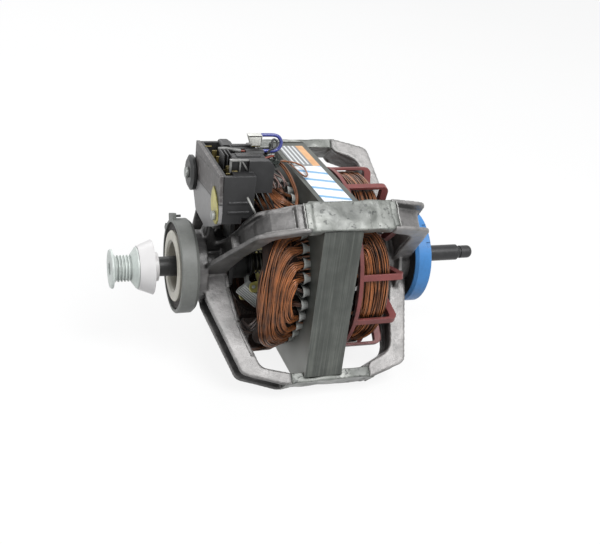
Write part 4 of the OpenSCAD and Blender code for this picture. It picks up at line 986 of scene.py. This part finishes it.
def switch_walls():
    """Window frames, walls, fins and contacts of the switch box."""
    bevelled("contact_windows", [
        block((-70.2, -28.6, 83), (-68.9, -26.6, 92.2)),
        block((-63.6, -28.6, 83), (-62.5, -26.6, 92.2)),
        block((-70.2, -29, 91.6), (-62.5, -26, 92.8)),
        block((-62.5, -28, 91.4), (-57, -25.6, 92.4)),
        prism([(-62.4, 91.6), (-61.2, 91.6), (-57, 85.6), (-57, 84.6), (-58, 84.6)],
              lambda p, y: (p[0], y, p[1]), -28, -27),
    ], "pale_grey_plastic", 0.25)
    fins = [block((x, -15, 79), (x + 0.9, -3, 91)) for x in (-71.2, -68.6, -66.1)]
    bevelled("switch_walls", [block((-68.9, -27, 83.6), (-57, -26.2, 91.8))] + fins + [
        block((-76, -36.6, 80), (-69, -35.6, 83.8)),
        block((-62, -16, 90), (-45, -9, 90.7)),
        block((-60, 5.2, 90), (-46, 8.8, 90.7)),
    ], "housing_plastic", 0.25)
    bevelled("contact_pins", [
        block((-68.4, -28.4, 83.9), (-64.4, -27.2, 84.9)),
        block((-72.9, -30, 83), (-70.2, -29.2, 83.8)),
        block((-75.2, 3, 82.6), (-73, 3.8, 83.6)),
        block((-75.6, 19.6, 84.2), (-70.6, 20.4, 85)),
    ], "brass", 0.2)


def switch_wires():
    """Sleeve and ferrule of the blue lead, and the wires in and under the switch box."""
    wires("lead_sleeve", [[(-71, 0.6, 90), (-66, 0.6, 90.2), (-62, 0.4, 89.6), (-60.4, 0.4, 89.4)]],
          1.15, "pale_grey_plastic", steps=5, sides=12)
    wires("lead_ferrule", [[(-61, 0.4, 89.2), (-58, 0.3, 88.9), (-55, 0, 88.6)]],
          1.35, "pale_grey_plastic", steps=5, sides=12)
    wires("red_leads", [
        [(-56, 0, 88.6), (-51, -0.6, 88.6), (-46, -1, 88.7), (-41, -0.4, 88.4), (-37, 0.8, 87.6)],
        [(-43, -8, 85.4), (-38.6, -8, 86.2), (-35, -6.6, 86.6), (-32.6, -5, 86.4), (-31, -3.4, 84.6)],
    ], 0.8, "red_wire")
    wires("black_leads", [
        [(-51, -28, 70), (-50, -31.4, 67), (-47.6, -33.4, 62.4), (-45, -34, 58)],
        [(-47, -28, 70), (-45.8, -31.4, 67.4), (-43.6, -33, 63), (-41.4, -33.6, 58.6)],
        [(-43.6, -27, 70), (-42, -30.2, 68), (-39.8, -32, 64), (-37.4, -32.6, 59)],
        [(-33.4, -1.4, 90.4), (-32.4, -0.6, 93), (-32, 0.8, 95.8), (-30.2, 1.2, 96.6), (-28.6, 0.4, 95),
         (-28.8, -0.8, 92.4), (-31, -1.4, 91), (-33.6, -2, 90.2), (-36, -2.6, 87.6)],
    ], 0.75, "black_plastic")
    strands = []
    draw = random.Random(12)
    for k in range(13):
        foot = np.array([-24.4 - 1.3 * k, -20 - 0.5 * k, 69.6])
        top = foot + scatter(draw, (-7, -3), (6, 12), (6, 9))
        middle = (foot + top) / 2 + scatter(draw, (-1, 2), (-3, 1), (0.5, 2.4))
        strands.append([foot, middle, top])
    wires("pale_strands", strands[::2], 0.5, "pink_wire", steps=7, sides=6)
    wires("dark_strands", strands[1::2], 0.5, "black_plastic", steps=7, sides=6)
    for number, (route, look) in enumerate([
        ([(-58.6, -31, 71.4), (-56.4, -32.4, 69.4), (-54.4, -33, 67)], "red_wire"),
        ([(-60, -31, 70), (-57.6, -33, 67.6), (-56, -33.6, 64)], "cream_plastic"),
        ([(-57.4, -31, 72), (-54.8, -32.4, 69.6), (-52.6, -33, 65)], "yellow_zinc"),
    ]):
        wires(f"lead_end_{number}", [route], 0.8, look)


def casting_sliver():
    """A thin sliver of metal beside the switch."""
    outline = [(-61.4, -44, 71.6), (-60.4, -44, 71.8), (-57.4, -48, 66), (-55.8, -50, 63), (-57, -50, 62.6),
               (-59, -47, 67)]
    form = prism(outline, lambda p, side: (p[0] + 0.4 * side, p[1] + 1.2 * side, p[2] + 0.4 * side), 0, 1)
    add_piece("casting_sliver", form, "flash_metal")


switch_walls()
switch_wires()
casting_sliver()


# Governor spring

def governor_spring():
    """Three turns on the hub between the governor's base and its collar."""
    first, last, radius, wire, travel = -40.1, -31.1, 8.4, 1.2, 3.1
    turns = np.linspace(0, 3 * 360, 100)
    path = polar(radius, turns, first + (last - first) * turns / turns[-1])
    form = tube(path, wire / 2, 10, path * (0, 1, 1))
    piece = add_piece("coiled_spring", form, "spring_steel", "rotor", ["governor_spring"])
    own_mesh(piece)


governor_spring()


# Rings of rubber and felt

def ring_profile(r_in, r_out, x_out, x_in, grooves, dip):
    """Outline of a soft ring: its outer end face is dished by dip and carries round grooves."""
    steps = 24
    inwards = 1 if x_in > x_out else -1
    face = []
    for i in range(steps + 1):
        share = i / steps
        sink = dip * math.sin(math.pi * share)
        if grooves:
            sink += 0.35 * dip * math.cos(2 * math.pi * grooves * share)
        face.append([r_in + (r_out - r_in) * share, x_out + sink * inwards])
    return face + [[r_out, x_in], [r_in, x_in]]


for name, node, look, *measures in [
    ("front_rubber_ring", "front_rubber", "grey_rubber", 26.05, 31.9, -97.3, -86.7, 2, 0.5),
    ("rear_rubber_ring", "rear_rubber", "black_rubber", 24.05, 33.85, 92.4, 81.8, 3, 0.6),
    ("front_felt_ring", "front_felt", "felt", 10.1, 19.3, -89.4, -84.1, 0, 0.3),
    ("rear_felt_ring", "rear_felt", "felt", 10.1, 19.3, 85.5, 80.2, 0, 0.3),
]:
    sharp_by_angle(add_piece(name, turned(ring_profile(*measures)), look, stands_for=[node]), 50)


# Floor, background and light

def make_floor():
    """A pale floor that lights the object less than it shows."""
    size, below = 6.0, 0.0004
    n = Nodes("floor")
    tone = n.ramp(n.noise(400, 2.0), (0.3, (0.93, 0.93, 0.93, 1)), (0.7, (0.97, 0.97, 0.97, 1)))
    n.finish(tone, 0.9)
    lit = n.tree.nodes["Principled BSDF"].outputs[0]
    matt = n.add("BsdfDiffuse", {"Color": (0.4, 0.4, 0.4, 1)})
    glow = n.add("Emission", {"Color": (1, 1, 1, 1), "Strength": 1.0})
    pale = n.add("MixShader", {0: 0.86, 1: lit, 2: glow.outputs[0]})
    n.seen_by(matt, pale, "Material Output")
    mesh = bpy.data.meshes.new("floor")
    corners = [(-size, -size, 0), (size, -size, 0), (size, size, 0), (-size, size, 0)]
    mesh.from_pydata(corners, [], [(0, 1, 2, 3)])
    mesh.materials.append(n.owner)
    floor = bpy.data.objects.new("floor", mesh)
    floor.location.z = -below
    scene.collection.objects.link(floor)


def make_studio():
    """A soft pale light from all round, and a white background behind it."""
    scene.world = bpy.data.worlds.new("studio")
    n = Nodes("studio", scene.world)
    soft = n.tree.nodes["Background"]
    n.feed(soft.inputs["Color"], (0.96, 0.98, 1.0, 1))
    n.feed(soft.inputs["Strength"], 0.42)
    white = n.add("Background", {"Color": (1, 1, 1, 1), "Strength": 1.0})
    n.seen_by(soft, white, "World Output")


def area_light(name, location, size, power):
    """A square lamp that shines at the middle of the object."""
    data = bpy.data.lights.new(name, "AREA")
    data.size = size
    data.energy = power
    lamp = bpy.data.objects.new(name, data)
    lamp.location = location
    direction = Vector((0, 0, 0.07)) - Vector(location)
    lamp.rotation_euler = direction.to_track_quat("-Z", "Y").to_euler()
    scene.collection.objects.link(lamp)


make_floor()
make_studio()
area_light("key", (0.35, -0.85, 1.35), 0.8, 20)
area_light("fill", (-1.2, -0.6, 0.7), 0.9, 5)
area_light("rim", (-0.2, 1.2, 1.1), 0.8, 7)
